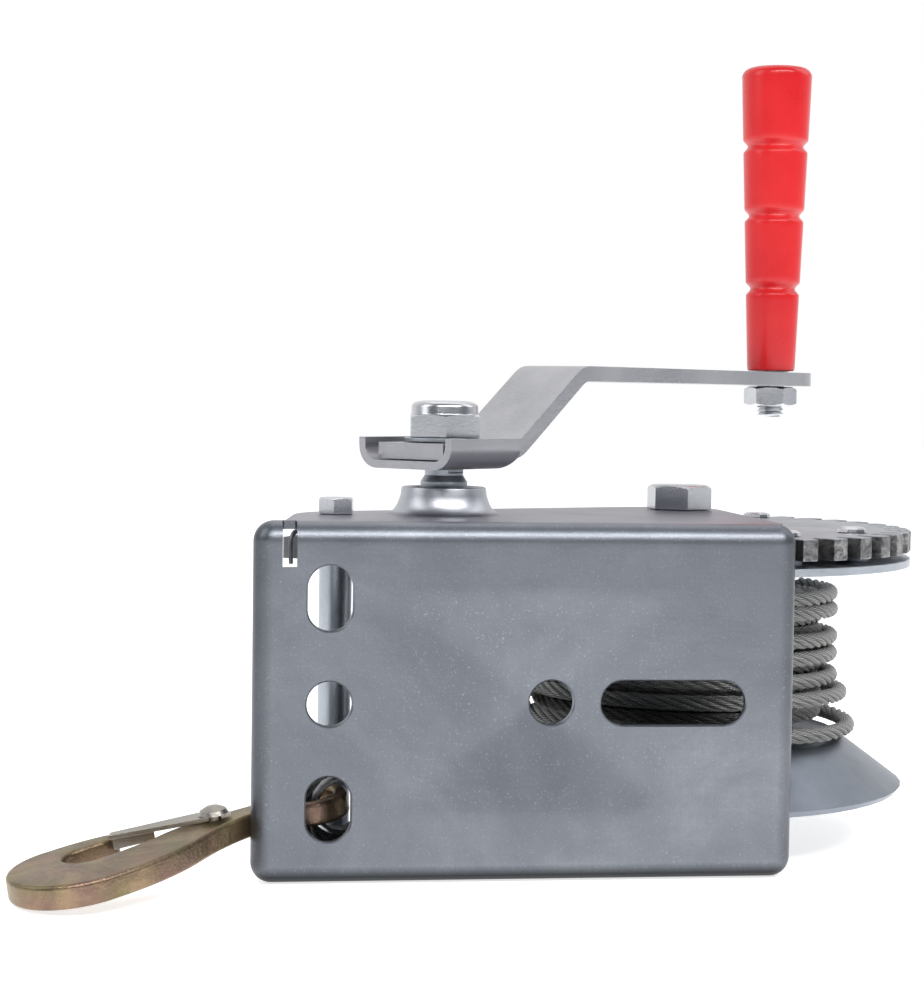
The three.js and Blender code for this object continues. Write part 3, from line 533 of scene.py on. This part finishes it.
# ---- CAD nodes that keep their shape: welded, softened edges, smooth shading by angle ----
def smooth_group():
    """A node group that shades smooth and keeps edges over 30 degrees sharp."""
    group = bpy.data.node_groups.new("smooth_by_angle", "GeometryNodeTree")
    group.interface.new_socket("Geometry", in_out="INPUT", socket_type="NodeSocketGeometry")
    group.interface.new_socket("Geometry", in_out="OUTPUT", socket_type="NodeSocketGeometry")
    new, wire = group.nodes.new, group.links.new
    start, end = new("NodeGroupInput"), new("NodeGroupOutput")
    merge = new("GeometryNodeMergeByDistance")
    merge.inputs["Distance"].default_value = 2e-6
    faces = new("GeometryNodeSetShadeSmooth")
    faces.domain = "FACE"
    edges = new("GeometryNodeSetShadeSmooth")
    edges.domain = "EDGE"
    edges.inputs["Shade Smooth"].default_value = False
    angle = new("GeometryNodeInputMeshEdgeAngle")
    compare = new("FunctionNodeCompare")
    compare.operation = "GREATER_THAN"
    compare.inputs[1].default_value = math.radians(30)
    wire(start.outputs[0], merge.inputs[0])
    wire(merge.outputs[0], faces.inputs["Geometry"])
    wire(faces.outputs[0], edges.inputs["Geometry"])
    wire(angle.outputs["Unsigned Angle"], compare.inputs[0])
    wire(compare.outputs[0], edges.inputs["Selection"])
    wire(edges.outputs[0], end.inputs[0])
    return group


SMOOTH = smooth_group()


def keep(names, material, bevel=0.3):
    """Dresses CAD nodes that keep their shape, with fine bevels where they have room."""
    for name in names:
        obj = nodes[name]
        obj.data.materials.clear()
        obj.data.materials.append(material)
        shade = obj.modifiers.new("shade", "NODES")
        shade.node_group = SMOOTH
        if bevel:
            soft = obj.modifiers.new("soft_edges", "BEVEL")
            soft.width = bevel * MM
            soft.segments = 2
            soft.limit_method = "ANGLE"
            soft.angle_limit = math.radians(34)
            soft.harden_normals = True


# The lower flange takes the zinc with painted shade.
keep(["lower_flange"], ZINC_PAINTED_SHADE, 0.2)
keep(["tie_bar", "drum_axle_washer", "drum_tube", "upper_flange", "rope_clamp",
      "crank_shaft", "crank_washer"], ZINC, 0.2)
keep(["drum_gear"], GEAR, 0.45)
keep(["hub_tray", "crank_arm"], ARM, 0.5)
keep(["tie_bar_screw", "rope_clamp_bolt_1", "rope_clamp_bolt_2"], BRIGHT, 0)
keep([f"gear_rivet_{i}" for i in range(1, 7)], BRIGHT, 0)
keep(["pawl_spring"], BRIGHT, 0)
keep(["pawl", "pawl_clip", "drive_pinion", "rope_thimble"], DARK, 0.3)
keep(["upper_shaft_bush", "lower_shaft_bush"], BRONZE, 0.2)
keep(["drum_upper_bush", "drum_lower_bush", "crank_nut_insert"], NYLON, 0.2)
keep(["hook_latch"], LATCH, 0.2)
keep(["latch_rivet"], LATCH, 0)
keep(["rope_ferrule"], ZINC, 0.4)


# ---- Rope ----
def lead():
    """The free strand from the winding to its ferrule."""
    rope = wire_rope("rope_free_end", catmull(LEAD_ROUTE))
    dress(rope, "frame", DARK_ROPE, ["rope_lead"])


def eye_loop():
    """The rope's own loop round the thimble, in the loop's upright plane."""
    centre, radius, end_x, end_z = 9.5, 11.4, 23.9, 2.9
    lean = math.asin((radius - end_z) / (end_x - centre))
    first, last = math.pi / 2 - lean, 1.5 * math.pi + lean
    pts = [(end_x, 0, end_z)]
    for i in range(25):
        a = first + (last - first) * i / 24
        pts.append((centre + radius * math.cos(a), 0, radius * math.sin(a)))
    pts.append((end_x, 0, -end_z))
    loop = wire_rope("rope_eye_loop", catmull(pts, 5))
    loop.data.transform(Matrix.Translation(Vector(EYE) * MM) @ Matrix.Rotation(math.radians(10), 4, "Z"))
    return dress(loop, "frame", DARK_ROPE, ["rope_eye"])


eye_loop()
lead()


def on_drum(turns, radius, z):
    """A point on the drum, a number of turns round it."""
    a = 2 * math.pi * turns
    return (DRUM[0] + radius * math.cos(a), DRUM[1] + radius * math.sin(a), z)


def winding():
    """The rope on the drum: plain inner layers, then one even layer and the loose outer turns."""
    start = 100 / 360
    turns_up, low, high = 8.25, WRAP_LOW, WRAP_HIGH
    radius, turn, inner = 22.9, start, []
    for layer in range(5):
        for i in range(int(turns_up * 24) + 1):
            t = i / (turns_up * 24)
            z = low + (high - low) * (t if layer % 2 == 0 else 1 - t)
            inner.append(on_drum(turn + t * turns_up, radius, z))
        turn += turns_up
        radius += 4.5
    core = simple_tube("rope_inner_layers", inner)
    dress(core, "drum", ROPE)
    middle = []
    for i in range(int(turns_up * 48) + 1):
        t = i / (turns_up * 48)
        a = turn + t * turns_up
        wander = 0.25 * math.sin(7.1 * a) + 0.2 * math.sin(3.3 * a + 1)
        middle.append(on_drum(a, 45.2, high - (high - low) * t + wander))
    dress(wire_rope("rope_even_layer", middle, phase=1.1), "drum", ROPE)
    at_right = -15 / 360
    keys = [
        (at_right - 0.72, 79.4, 49.6), (at_right - 0.35, 79.3, 50), (at_right, 79.1, 50),
        (at_right + 0.6, 76.2, 50), (at_right + 1, 73.6, 50.2), (at_right + 1.55, 69.2, 49.8),
        (at_right + 2, 65.1, 50.2), (at_right + 2.5, 62.4, 50), (at_right + 3, 59.2, 50.2),
        (at_right + 3.6, 55.6, 49.8), (at_right + 4, 52.4, 50.4), (at_right + 4.45, 49.6, 50.6),
        (at_right + 4.8, 47.8, 52.0), (at_right + 5.0, 46.4, 53.6), (at_right + 5.25, 44.0, 52.6),
        (at_right + 5.5, 41.2, 52.0), (at_right + 5.75, 38.8, 53.4), (at_right + 5.9, 36.8, 55.6),
        (at_right + 6.05, 36.0, 56.4), (at_right + 6.2, 37.4, 55.8), (at_right + 6.35, 41.0, 55.2),
        (at_right + 6.5, 44.9, 55.2), (190.53 / 360 + 6, 46.3, 55.53),
    ]
    at = np.array([k[0] for k in keys])
    fine = np.linspace(at[0], at[-1], int((at[-1] - at[0]) * 60))
    z = smooth_through(at, [k[1] for k in keys], fine)
    r = smooth_through(at, [k[2] for k in keys], fine)
    outer = [on_drum(a, rr, zz + 0.22 * math.sin(9.3 * a)) for a, rr, zz in zip(fine, r, z)]
    rope = wire_rope("rope_outer_turns", outer, phase=0.4)
    dress(rope, "drum", ROPE, ["rope_winding"])


def smooth_through(x, y, at):
    """Values of a monotone-friendly cubic through the points (x, y)."""
    y = np.array(y, float)
    slope = np.gradient(y, x)
    i = np.clip(np.searchsorted(x, at, side="right") - 1, 0, len(x) - 2)
    h = x[i + 1] - x[i]
    t = (at - x[i]) / h
    return ((2 * t ** 3 - 3 * t ** 2 + 1) * y[i] + (t ** 3 - 2 * t ** 2 + t) * h * slope[i]
            + (3 * t ** 2 - 2 * t ** 3) * y[i + 1] + (t ** 3 - t ** 2) * h * slope[i + 1])


def simple_tube(name, points):
    """A plain eight-sided tube, for rope that the outer layers hide."""
    sides = 8
    pts, _ = resample(points, 8.0)
    _, n1, n2 = path_frames(pts)
    turn = np.arange(sides) * 2 * math.pi / sides
    verts = pts[:, None, :] + ROPE_R * (np.cos(turn)[None, :, None] * n1[:, None, :]
                                        + np.sin(turn)[None, :, None] * n2[:, None, :])
    return mesh_object(name, verts.reshape(-1, 3).tolist(), tube_faces(len(pts), sides))


winding()


def rope_tail():
    """The inner end of the rope, under its clamp."""
    place = (Matrix.Translation((DRUM[0] * MM, DRUM[1] * MM, 0)) @ Matrix.Rotation(math.radians(100), 4, "Z")
             @ Matrix.Translation((34 * MM, 0, 0)) @ Matrix.Rotation(math.pi / 2, 4, "Z"))
    route = [(0, -8, 27.6), (0, 0, 27.6), (0, 6.5, 27.7), (0, 12, 30.2)]
    rope = wire_rope("rope_inner_end", catmull(route))
    rope.data.transform(place)
    dress(rope, "drum", ROPE, ["rope_tail"])


rope_tail()


# ---- Frame ----
def pan_shell():
    """The base plate with its four rounded edges and short lips: an outer and an inner skin, joined."""
    steps = 7

    def rounding(radius):
        return [radius - radius * math.tan(math.radians(45 * (1 - k / steps))) for k in range(steps + 1)]

    def spots(low, high, radius, count):
        near = rounding(radius)
        middle = np.linspace(low + radius, high - radius, count + 1)[1:-1]
        return [low + d for d in near] + list(middle) + [high - d for d in reversed(near)]

    def depths(radius, start):
        return [start + d for d in rounding(radius)] + [LIP_END]

    def skin(inset):
        radius = BEND - inset
        low = (-PLATE_X + inset, FACE_Y + inset, inset)
        high = (PLATE_X - inset, 60.0, PLATE_TOP - inset)
        xs, zs = spots(low[0], high[0], radius, 84), spots(low[2], high[2], radius, 54)
        ys = depths(radius, low[1])

        def place(x, y, z):
            p = Vector((x, y, z))
            core = Vector((min(max(x, low[0] + radius), high[0] - radius), max(y, low[1] + radius),
                           min(max(z, low[2] + radius), high[2] - radius)))
            away = p - core
            return tuple(core + away.normalized() * radius) if away.length > 1e-9 else tuple(p)

        return xs, ys, zs, place

    verts, faces, index = [], [], {}

    def vertex(key, point):
        if key not in index:
            index[key] = len(verts)
            verts.append(point)
        return index[key]

    rims = []
    for layer, inset in enumerate((0.0, SHEET)):
        xs, ys, zs, place = skin(inset)
        nx, ny, nz = len(xs), len(ys), len(zs)

        def at(i, j, k):
            return vertex((layer, i, j, k), place(xs[i], ys[j], zs[k]))

        def face(*corners):
            faces.append(corners if layer == 0 else tuple(reversed(corners)))

        for i in range(nx - 1):
            for k in range(nz - 1):
                face(at(i, 0, k), at(i + 1, 0, k), at(i + 1, 0, k + 1), at(i, 0, k + 1))
        for j in range(ny - 1):
            for i in range(nx - 1):
                face(at(i, j, 0), at(i, j + 1, 0), at(i + 1, j + 1, 0), at(i + 1, j, 0))
                face(at(i, j, nz - 1), at(i + 1, j, nz - 1), at(i + 1, j + 1, nz - 1), at(i, j + 1, nz - 1))
            for k in range(nz - 1):
                face(at(0, j, k), at(0, j, k + 1), at(0, j + 1, k + 1), at(0, j + 1, k))
                face(at(nx - 1, j, k), at(nx - 1, j + 1, k), at(nx - 1, j + 1, k + 1), at(nx - 1, j, k + 1))
        last = ny - 1
        rims.append([at(i, last, 0) for i in range(nx)] + [at(nx - 1, last, k) for k in range(1, nz)]
                    + [at(i, last, nz - 1) for i in reversed(range(nx - 1))]
                    + [at(0, last, k) for k in reversed(range(1, nz - 1))])
    outer, inner = rims
    return mesh_object("frame_body", verts, faces + band(outer, inner))


def quadratic(a, b, c, count=10):
    """Points along a curve from a to c that heads for b, without a itself."""
    return [tuple((1 - t) ** 2 * a[i] + 2 * t * (1 - t) * b[i] + t * t * c[i] for i in (0, 1))
            for t in [k / count for k in range(1, count + 1)]]


def ear_outline():
    """A side plate, seen from below: straight across the face, wide at the drum's end."""
    left = -PLATE_X
    pts = [(left + 9, -24.0), (left + 13, 7.0)]
    pts += quadratic((left + 13, 7), (left + 15, 22), (left + 28, 28))
    pts.append((left + 118, 64))
    pts += quadratic((left + 118, 64), (left + 130, 69), (left + 143, 69))
    pts += quadratic((left + 143, 69), (left + 154, 68), (left + 156, 55))
    pts.append((left + 156, -24.0))
    return list(reversed(pts))


def slot_outline(width, height, grow=0.0, count=20):
    """A slot with round ends, or a circle when its sides are equal."""
    r = min(width, height) / 2
    run_x, run_z = width / 2 - r, height / 2 - r
    pts = []
    for i in range(4 * count):
        a = 2 * math.pi * (i + 0.5) / (4 * count)
        cx = run_x if math.cos(a) > 0 else -run_x
        cz = run_z if math.sin(a) > 0 else -run_z
        pts.append((cx + (r + grow) * math.cos(a), cz + (r + grow) * math.sin(a)))
    return pts


def hole_cutter(x, z, width, height):
    """A straight cutter through the plate with a small chamfer at the plate's outer face."""
    layers = [(FACE_Y - 3, 3.4), (FACE_Y + 0.45, 0.0), (FACE_Y + 7, 0.0)]
    verts, faces = [], []
    for y, grow in layers:
        verts += [(x + a, y, z + b) for a, b in slot_outline(width, height, grow)]
    n = len(verts) // len(layers)
    for first in range(0, (len(layers) - 1) * n, n):
        faces += band(range(first, first + n), range(first + n, first + 2 * n))
    faces.append(tuple(range(n)))
    faces.append(tuple(reversed(range((len(layers) - 1) * n, len(layers) * n))))
    return tidy_normals(mesh_object("cutter", verts, faces))


def press_dish(obj):
    """Presses the shallow four-sided dish into the base plate."""
    co = np.zeros(len(obj.data.vertices) * 3)
    obj.data.vertices.foreach_get("co", co)
    co = co.reshape(-1, 3) / MM
    u = np.abs(co[:, 0] - 1.5) / 43
    v = np.abs(co[:, 2] - 52.5) / 34
    power = 9.0
    edge = (u ** power + v ** power) ** (1 / power)
    ease = 0.1
    inside = 1 - edge
    depth = np.where(inside > ease, inside - ease / 2, np.where(inside > 0, inside ** 2 / (2 * ease), 0))
    centre_soft = np.sqrt(edge ** 2 + 0.05 ** 2) - edge
    depth = 2.3 * np.maximum(depth - centre_soft, 0)
    near = (co[:, 1] > FACE_Y - 0.2) & (co[:, 1] < FACE_Y + SHEET + 0.2)
    co[:, 1] += np.where(near, depth, 0)
    obj.data.vertices.foreach_set("co", (co * MM).reshape(-1))
    obj.data.update()


def frame_body():
    """The frame in one piece: pan, side plates, boss and pressed cup, then its holes and its dish."""
    body = pan_shell()
    tidy_normals(body)
    for z0, z1 in ((0.0, SHEET), (PLATE_TOP - SHEET, PLATE_TOP)):
        boolean(body, body_from(prism(ear_outline(), z0, z1)), "UNION")
    under = PLATE_TOP - SHEET
    flare = [(13.35, 110.9), (13.8, 109.4), (14.4, 107.9), (15.2, 106.6), (16.3, 105.6), (17.7, 105.02)]
    lip = [(11.0, 113.2), (11.5, 113.4), (12.5, 113.4), (12.95, 113.2), (13.1, 112.8)]
    boss = [(10.8, under), (10.8, 112.7)] + lip + flare + [(17.7, under)]
    boolean(body, body_from(lathe(boss, *CRANK)), "UNION")
    cup = rounded([(0, 0.0), (16.5, 0.0), (16.5, 9.7), (0, 9.7)], 1.2, 4, (0, 3))
    boolean(body, body_from(lathe(cup, *DRUM)), "UNION")
    holes = [(-58, 83, 13, 19), (-58, 52.5, 13, 13), (-58, 22, 13, 19), (7, 52.5, 13, 13), (43, 52.5, 43, 13)]
    for hole in holes:
        boolean(body, hole_cutter(*hole))
    for profile, place in (
        ([(0, 100), (10.8, 100), (10.8, 114.5), (0, 114.5)], CRANK),
        ([(0, -1), (8.3, -1), (8.3, 4), (0, 4)], CRANK),
        ([(0, -1), (13.7, -1), (13.7, 7.2), (0, 7.2)], DRUM),
        ([(0, -1), (6.3, -1), (6.3, 107), (0, 107)], DRUM),
        ([(0, -1), (3.3, -1), (3.3, 107), (0, 107)], TIE),
        ([(0, -0.1), (6.4, -0.1), (3.2, 3.2), (0, 3.2)], TIE),
    ):
        boolean(body, body_from(lathe(profile, *place, segments=64)))
    notch = [(-71.8, -34.0), (-67.6, -34.0), (-67.6, -25.0), (-68.1, -24.2), (-69.7, -24.0),
             (-71.3, -24.2), (-71.8, -25.0)]
    boolean(body, body_from(prism(notch, 91.8, 107)))
    press_dish(body)
    tidy_normals(body, 28)
    dress(body, "frame", PLATE, ["frame"])


frame_body()


# ---- Grip ----
def grip():
    """The turned grip: a slow taper with three grooves and a rounded top."""
    low, high = GRIP_LOW, GRIP_TOP

    def radius(z):
        return 8.8 + 4.3 * (z - low) / (high - low)

    dip = [(0.5, -1.55), (1.2, -0.95), (2.1, -0.12), (2.6, 0), (4.5, 0)]
    section = [(-dz, dr) for dz, dr in reversed(dip)] + [(0, -1.7)] + dip
    profile = [(5.4, 155.6), (7, 155.6), (7, low + 0.3), (7.3, low), (8.2, low), (8.7, low + 0.4)]
    profile.append((radius(low + 2), low + 2))
    for groove in (182.9, 210.0, 235.6):
        profile += [(radius(groove + dz) + dr, groove + dz) for dz, dr in section]
    profile += [(radius(high - 9), high - 9), (radius(high - 5) - 0.05, high - 5)]
    edge = radius(high) - 0.1
    for k in range(1, 9):
        a = math.radians(90 * k / 8)
        profile.append((edge - 3.6 * (1 - math.cos(a)), high - 4.4 + 3.6 * math.sin(a)))
    for k in range(1, 6):
        profile.append(((edge - 3.6) * (1 - k / 5), high - 0.8 + 0.8 * math.sin(math.pi / 2 * k / 5)))
    profile += [(0, 254), (6.4, 254), (6.4, 246), (5.4, 245)]
    obj = body_from(lathe(profile, *GRIP, segments=96), "grip_body")
    dress(obj, "grip", RED, ["grip"])


grip()


# ---- Nuts and bolt heads: hexagons with their corners turned off by a fine chamfer ----
def hexagon(across, z0, z1, place, turn, both=False, cap=()):
    """A hexagon cut by a turned outline: its chamfers, and the round collar on top if it has one."""
    corner = across / math.sqrt(3)
    outline = [(place[0] + corner * math.cos(turn + k * math.pi / 3),
                place[1] + corner * math.sin(turn + k * math.pi / 3)) for k in range(6)]
    face, reach = across * 0.47, corner + 0.1
    fall = (reach - face) * 0.5
    low = [(0, z0), (face, z0), (reach, z0 + fall)] if both else [(0, z0), (reach, z0)]
    top = cap[-1][1] if cap else z1
    body = body_from(prism(outline, z0, top + 1), "hexagon")
    high = list(cap) if cap else [(face, z1), (0, z1)]
    return boolean(body, body_from(lathe(low + [(reach, z1 - fall)] + high, *place)), "INTERSECT")


def fastener(name, body, node, parts, holes=()):
    """Finishes a nut or bolt: turned parts joined, turned holes cut, fine bevels."""
    for profile, place in parts:
        boolean(body, body_from(lathe(profile, *place)), "UNION")
    for profile, place in holes:
        boolean(body, body_from(lathe(profile, *place)))
    body.name = name
    soft = body.modifiers.new("soft_edges", "BEVEL")
    soft.width = 0.18 * MM
    soft.segments = 2
    soft.angle_limit = math.radians(38)
    soft.harden_normals = True
    tidy_normals(body, 30)
    dress(body, node[0], BRIGHT, [node[1]])


def fasteners():
    """The lock nut, the axle's bolt and nut, the tie bar's bolt and the nut under the grip."""
    collar = [(10.4, 135.75), (10.3, 136.0), (10.3, 138), (10.05, 138.6), (9.5, 139.2),
              (8.2, 139.65), (6.4, 139.9), (0, 139.9)]
    chamber = [(0, 128), (6.3, 128), (6.3, 135.8), (8.9, 135.8),
               (8.9, 138.6), (5.2, 138.6), (5.2, 141), (0, 141)]
    fastener("crank_nut_body", hexagon(21, 128.8, 136, CRANK, 0.45, False, collar), ("crank", "crank_nut"),
             [], [(chamber, CRANK)])
    fastener("axle_bolt_body", hexagon(19, 105.3, 113.2, DRUM, 0.56), ("frame", "drum_axle_bolt"),
             [([(0, 1), (5.4, 1), (6, 1.8), (6, 106), (0, 106)], DRUM)])
    fastener("axle_nut_body", hexagon(18, 0.7, 6.9, DRUM, 0.0, True), ("frame", "drum_axle_nut"),
             [], [([(0, 0), (6.3, 0), (6.3, 8), (0, 8)], DRUM)])
    fastener("tie_bolt_body", hexagon(10, 105.3, 110.2, TIE, 0.35), ("frame", "tie_bar_bolt"),
             [([(0, 88), (3, 88), (3, 106), (0, 106)], TIE)])
    fastener("grip_nut_body", hexagon(17, 139.2, 146.4, GRIP, 0.75, True), ("crank", "grip_nut"),
             [], [([(0, 138), (5.3, 138), (5.3, 148), (0, 148)], GRIP)])


fasteners()


def spindle():
    """The grip's spindle, with a real thread where it stands out of its nut."""
    verts, faces = [], []
    pitch, segments = 1.5, 40
    zs = list(np.arange(135.2, 139.3, 0.15)) + [140.5, 151.9]
    rows = []
    for z in zs:
        row = []
        for i in range(segments):
            a = 2 * math.pi * i / segments
            if z < 139.4:
                tooth = abs(((z / pitch - a / (2 * math.pi)) % 1) - 0.5) * 2
                r = 4.15 + 0.85 * min(1, max(0, tooth * 1.25 - 0.1)) - max(0, 136.1 - z) * 0.9
            else:
                r = 5.0
            row.append(len(verts))
            verts.append((GRIP[0] + r * math.cos(a), GRIP[1] + r * math.sin(a), float(z)))
        rows.append(row)
    for low, high in zip(rows, rows[1:]):
        faces += band(low, high)
    faces.append(tuple(reversed(rows[0])))
    upper = [(6.7, 152), (6.7, 155.2), (5, 155.2), (5, 246.6), (6, 247.6), (6, 250.5), (5, 252)]
    rings = [rows[-1]]
    for r, z in upper:
        rings.append(list(range(len(verts), len(verts) + segments)))
        for i in range(segments):
            a = 2 * math.pi * i / segments
            verts.append((GRIP[0] + r * math.cos(a), GRIP[1] + r * math.sin(a), z))
    for low, high in zip(rings, rings[1:]):
        faces += band(low, high)
    faces.append(tuple(rings[-1]))
    obj = body_from((verts, faces), "grip_spindle_body")
    dress(obj, "crank", BRIGHT, ["grip_spindle"])


spindle()


# ---- Hook ----
def hook():
    """The forged hook: a flat outline with rounded edges, tilted on to its place."""

    def arc(cx, cy, r, a0, a1, count):
        return [(cx + r * math.cos(a0 + (a1 - a0) * k / count), cy + r * math.sin(a0 + (a1 - a0) * k / count))
                for k in range(count + 1)]

    bowl_x, outer = 75.5, 19.5
    pts = arc(0, 0, 12, 0.4, 2 * math.pi - 0.5, 48)
    pts += quadratic(pts[-1], (16, -5.8), (27, -6.8))
    pts += quadratic(pts[-1], (38, -7), (47, -4), 14)
    pts += quadratic(pts[-1], (56, -0.5), (70, 1), 14)
    pts += arc(70, -5.5, 6.5, math.pi / 2, -math.pi / 2, 28)
    pts += quadratic(pts[-1], (64, -12.6), (58, -12.9))
    pts += quadratic(pts[-1], (52, -15.5), (57, -18.6), 16)
    pts += quadratic(pts[-1], (65, -20.6), (bowl_x, -outer))
    pts += arc(bowl_x, 0, outer, -math.pi / 2, math.pi / 2, 44)
    pts += quadratic(pts[-1], (57, 19.2), (42, 10.8), 14)
    pts += quadratic(pts[-1], (32, 4.8), (22, 3.1))
    clean = []
    for p in pts:
        if not clean or math.dist(p, clean[-1]) > 0.05:
            clean.append(p)
    if math.dist(clean[0], clean[-1]) < 0.05:
        clean.pop()
    curve = bpy.data.curves.new("hook_outline", "CURVE")
    curve.dimensions = "2D"
    curve.fill_mode = "BOTH"
    hole = list(reversed(arc(0, 0, 7.6, 0, 2 * math.pi * 39 / 40, 39)))
    for line in (clean, hole):
        spline = curve.splines.new("POLY")
        spline.points.add(len(line) - 1)
        for point, (x, y) in zip(spline.points, line):
            point.co = (x * MM, y * MM, 0, 1)
        spline.use_cyclic_u = True
    rim = 1.3 * MM
    curve.bevel_depth = rim
    curve.bevel_resolution = 5
    curve.offset = -rim
    curve.extrude = HOOK_THICKNESS / 2 * MM - rim
    made = bpy.data.objects.new("hook_outline", curve)
    link(made)
    depsgraph = bpy.context.evaluated_depsgraph_get()
    mesh = bpy.data.meshes.new_from_object(made.evaluated_get(depsgraph))
    bpy.data.objects.remove(made)
    obj = link(bpy.data.objects.new("hook_body", mesh))
    tidy_normals(obj, 40)
    place = (Matrix.Translation(Vector(EYE) * MM) @ Matrix.Rotation(HOOK_HEADING, 4, "Z")
             @ Matrix.Rotation(HOOK_TILT, 4, "Y"))
    obj.data.transform(place)
    dress(obj, "hook", CHROMATE, ["hook"])


hook()


# ---- Floor, light and surroundings ----
def floor_material(name, colour, strength):
    """A plain pale floor that glows enough to look even."""
    m = Nodes(name)
    cloud = m.noise(3, 2, 0.5)
    tone = m.ramp(cloud, [(0.3, tuple(c * 0.99 for c in colour)), (0.7, colour)])
    m.shader.inputs["Specular IOR Level"].default_value = 0.1
    m.put(m.shader.inputs["Emission Color"], (*colour, 1))
    m.put(m.shader.inputs["Emission Strength"], strength)
    return m.finish(tone, 0.9)


def stage():
    bpy.ops.mesh.primitive_plane_add(size=8, location=(0, 1.5, -0.0002))
    floor = bpy.context.object
    floor.name = "floor"
    floor.data.materials.append(floor_material("floor_white", (0.9, 0.9, 0.9), 0.8))


def studio_world():
    """A room that is dark behind the camera and white behind the object, for the steel to mirror."""
    world = bpy.data.worlds.new("studio")
    bpy.context.scene.world = world
    world.use_nodes = True
    tree = world.node_tree
    back = tree.nodes["Background"]
    coord = tree.nodes.new("ShaderNodeTexCoord")
    split = tree.nodes.new("ShaderNodeSeparateXYZ")
    ramp = tree.nodes.new("ShaderNodeValToRGB")
    tree.links.new(coord.outputs["Generated"], split.inputs[0])
    add = tree.nodes.new("ShaderNodeMath")
    add.operation = "MULTIPLY_ADD"
    add.inputs[1].default_value = 0.5
    add.inputs[2].default_value = 0.5
    tree.links.new(split.outputs[1], add.inputs[0])
    tree.links.new(add.outputs[0], ramp.inputs[0])
    ramp.color_ramp.elements[0].position = 0.22
    ramp.color_ramp.elements[0].color = (0.10, 0.11, 0.13, 1)
    ramp.color_ramp.elements[1].position = 0.86
    ramp.color_ramp.elements[1].color = (1, 1, 1, 1)
    middle = ramp.color_ramp.elements.new(0.56)
    middle.color = (0.34, 0.36, 0.40, 1)
    tree.links.new(ramp.outputs[0], back.inputs[0])
    back.inputs[1].default_value = 1.0


def area(name, location, target, size, power):
    data = bpy.data.lights.new(name, "AREA")
    data.shape = "RECTANGLE"
    data.size, data.size_y = size
    data.energy = power
    light = link(bpy.data.objects.new(name, data))
    light.location = location
    light.rotation_euler = (Vector(target) - Vector(location)).to_track_quat("-Z", "Y").to_euler()


def lights():
    area("key", (0.16, -0.78, 0.92), (0, 0, 0.1), (1.5, 0.2), 13)
    area("rim", (1.0, 0.2, 0.9), (0.05, 0.05, 0.1), (0.5, 0.9), 2.2)
    area("left", (-1.0, -0.1, 0.8), (0, 0, 0.1), (0.5, 0.8), 3)
    area("top", (0.1, 0.5, 1.3), (0, 0, 0.1), (1.0, 0.8), 2)


stage()
studio_world()
lights()
bpy.context.scene.view_settings.view_transform = "Standard"
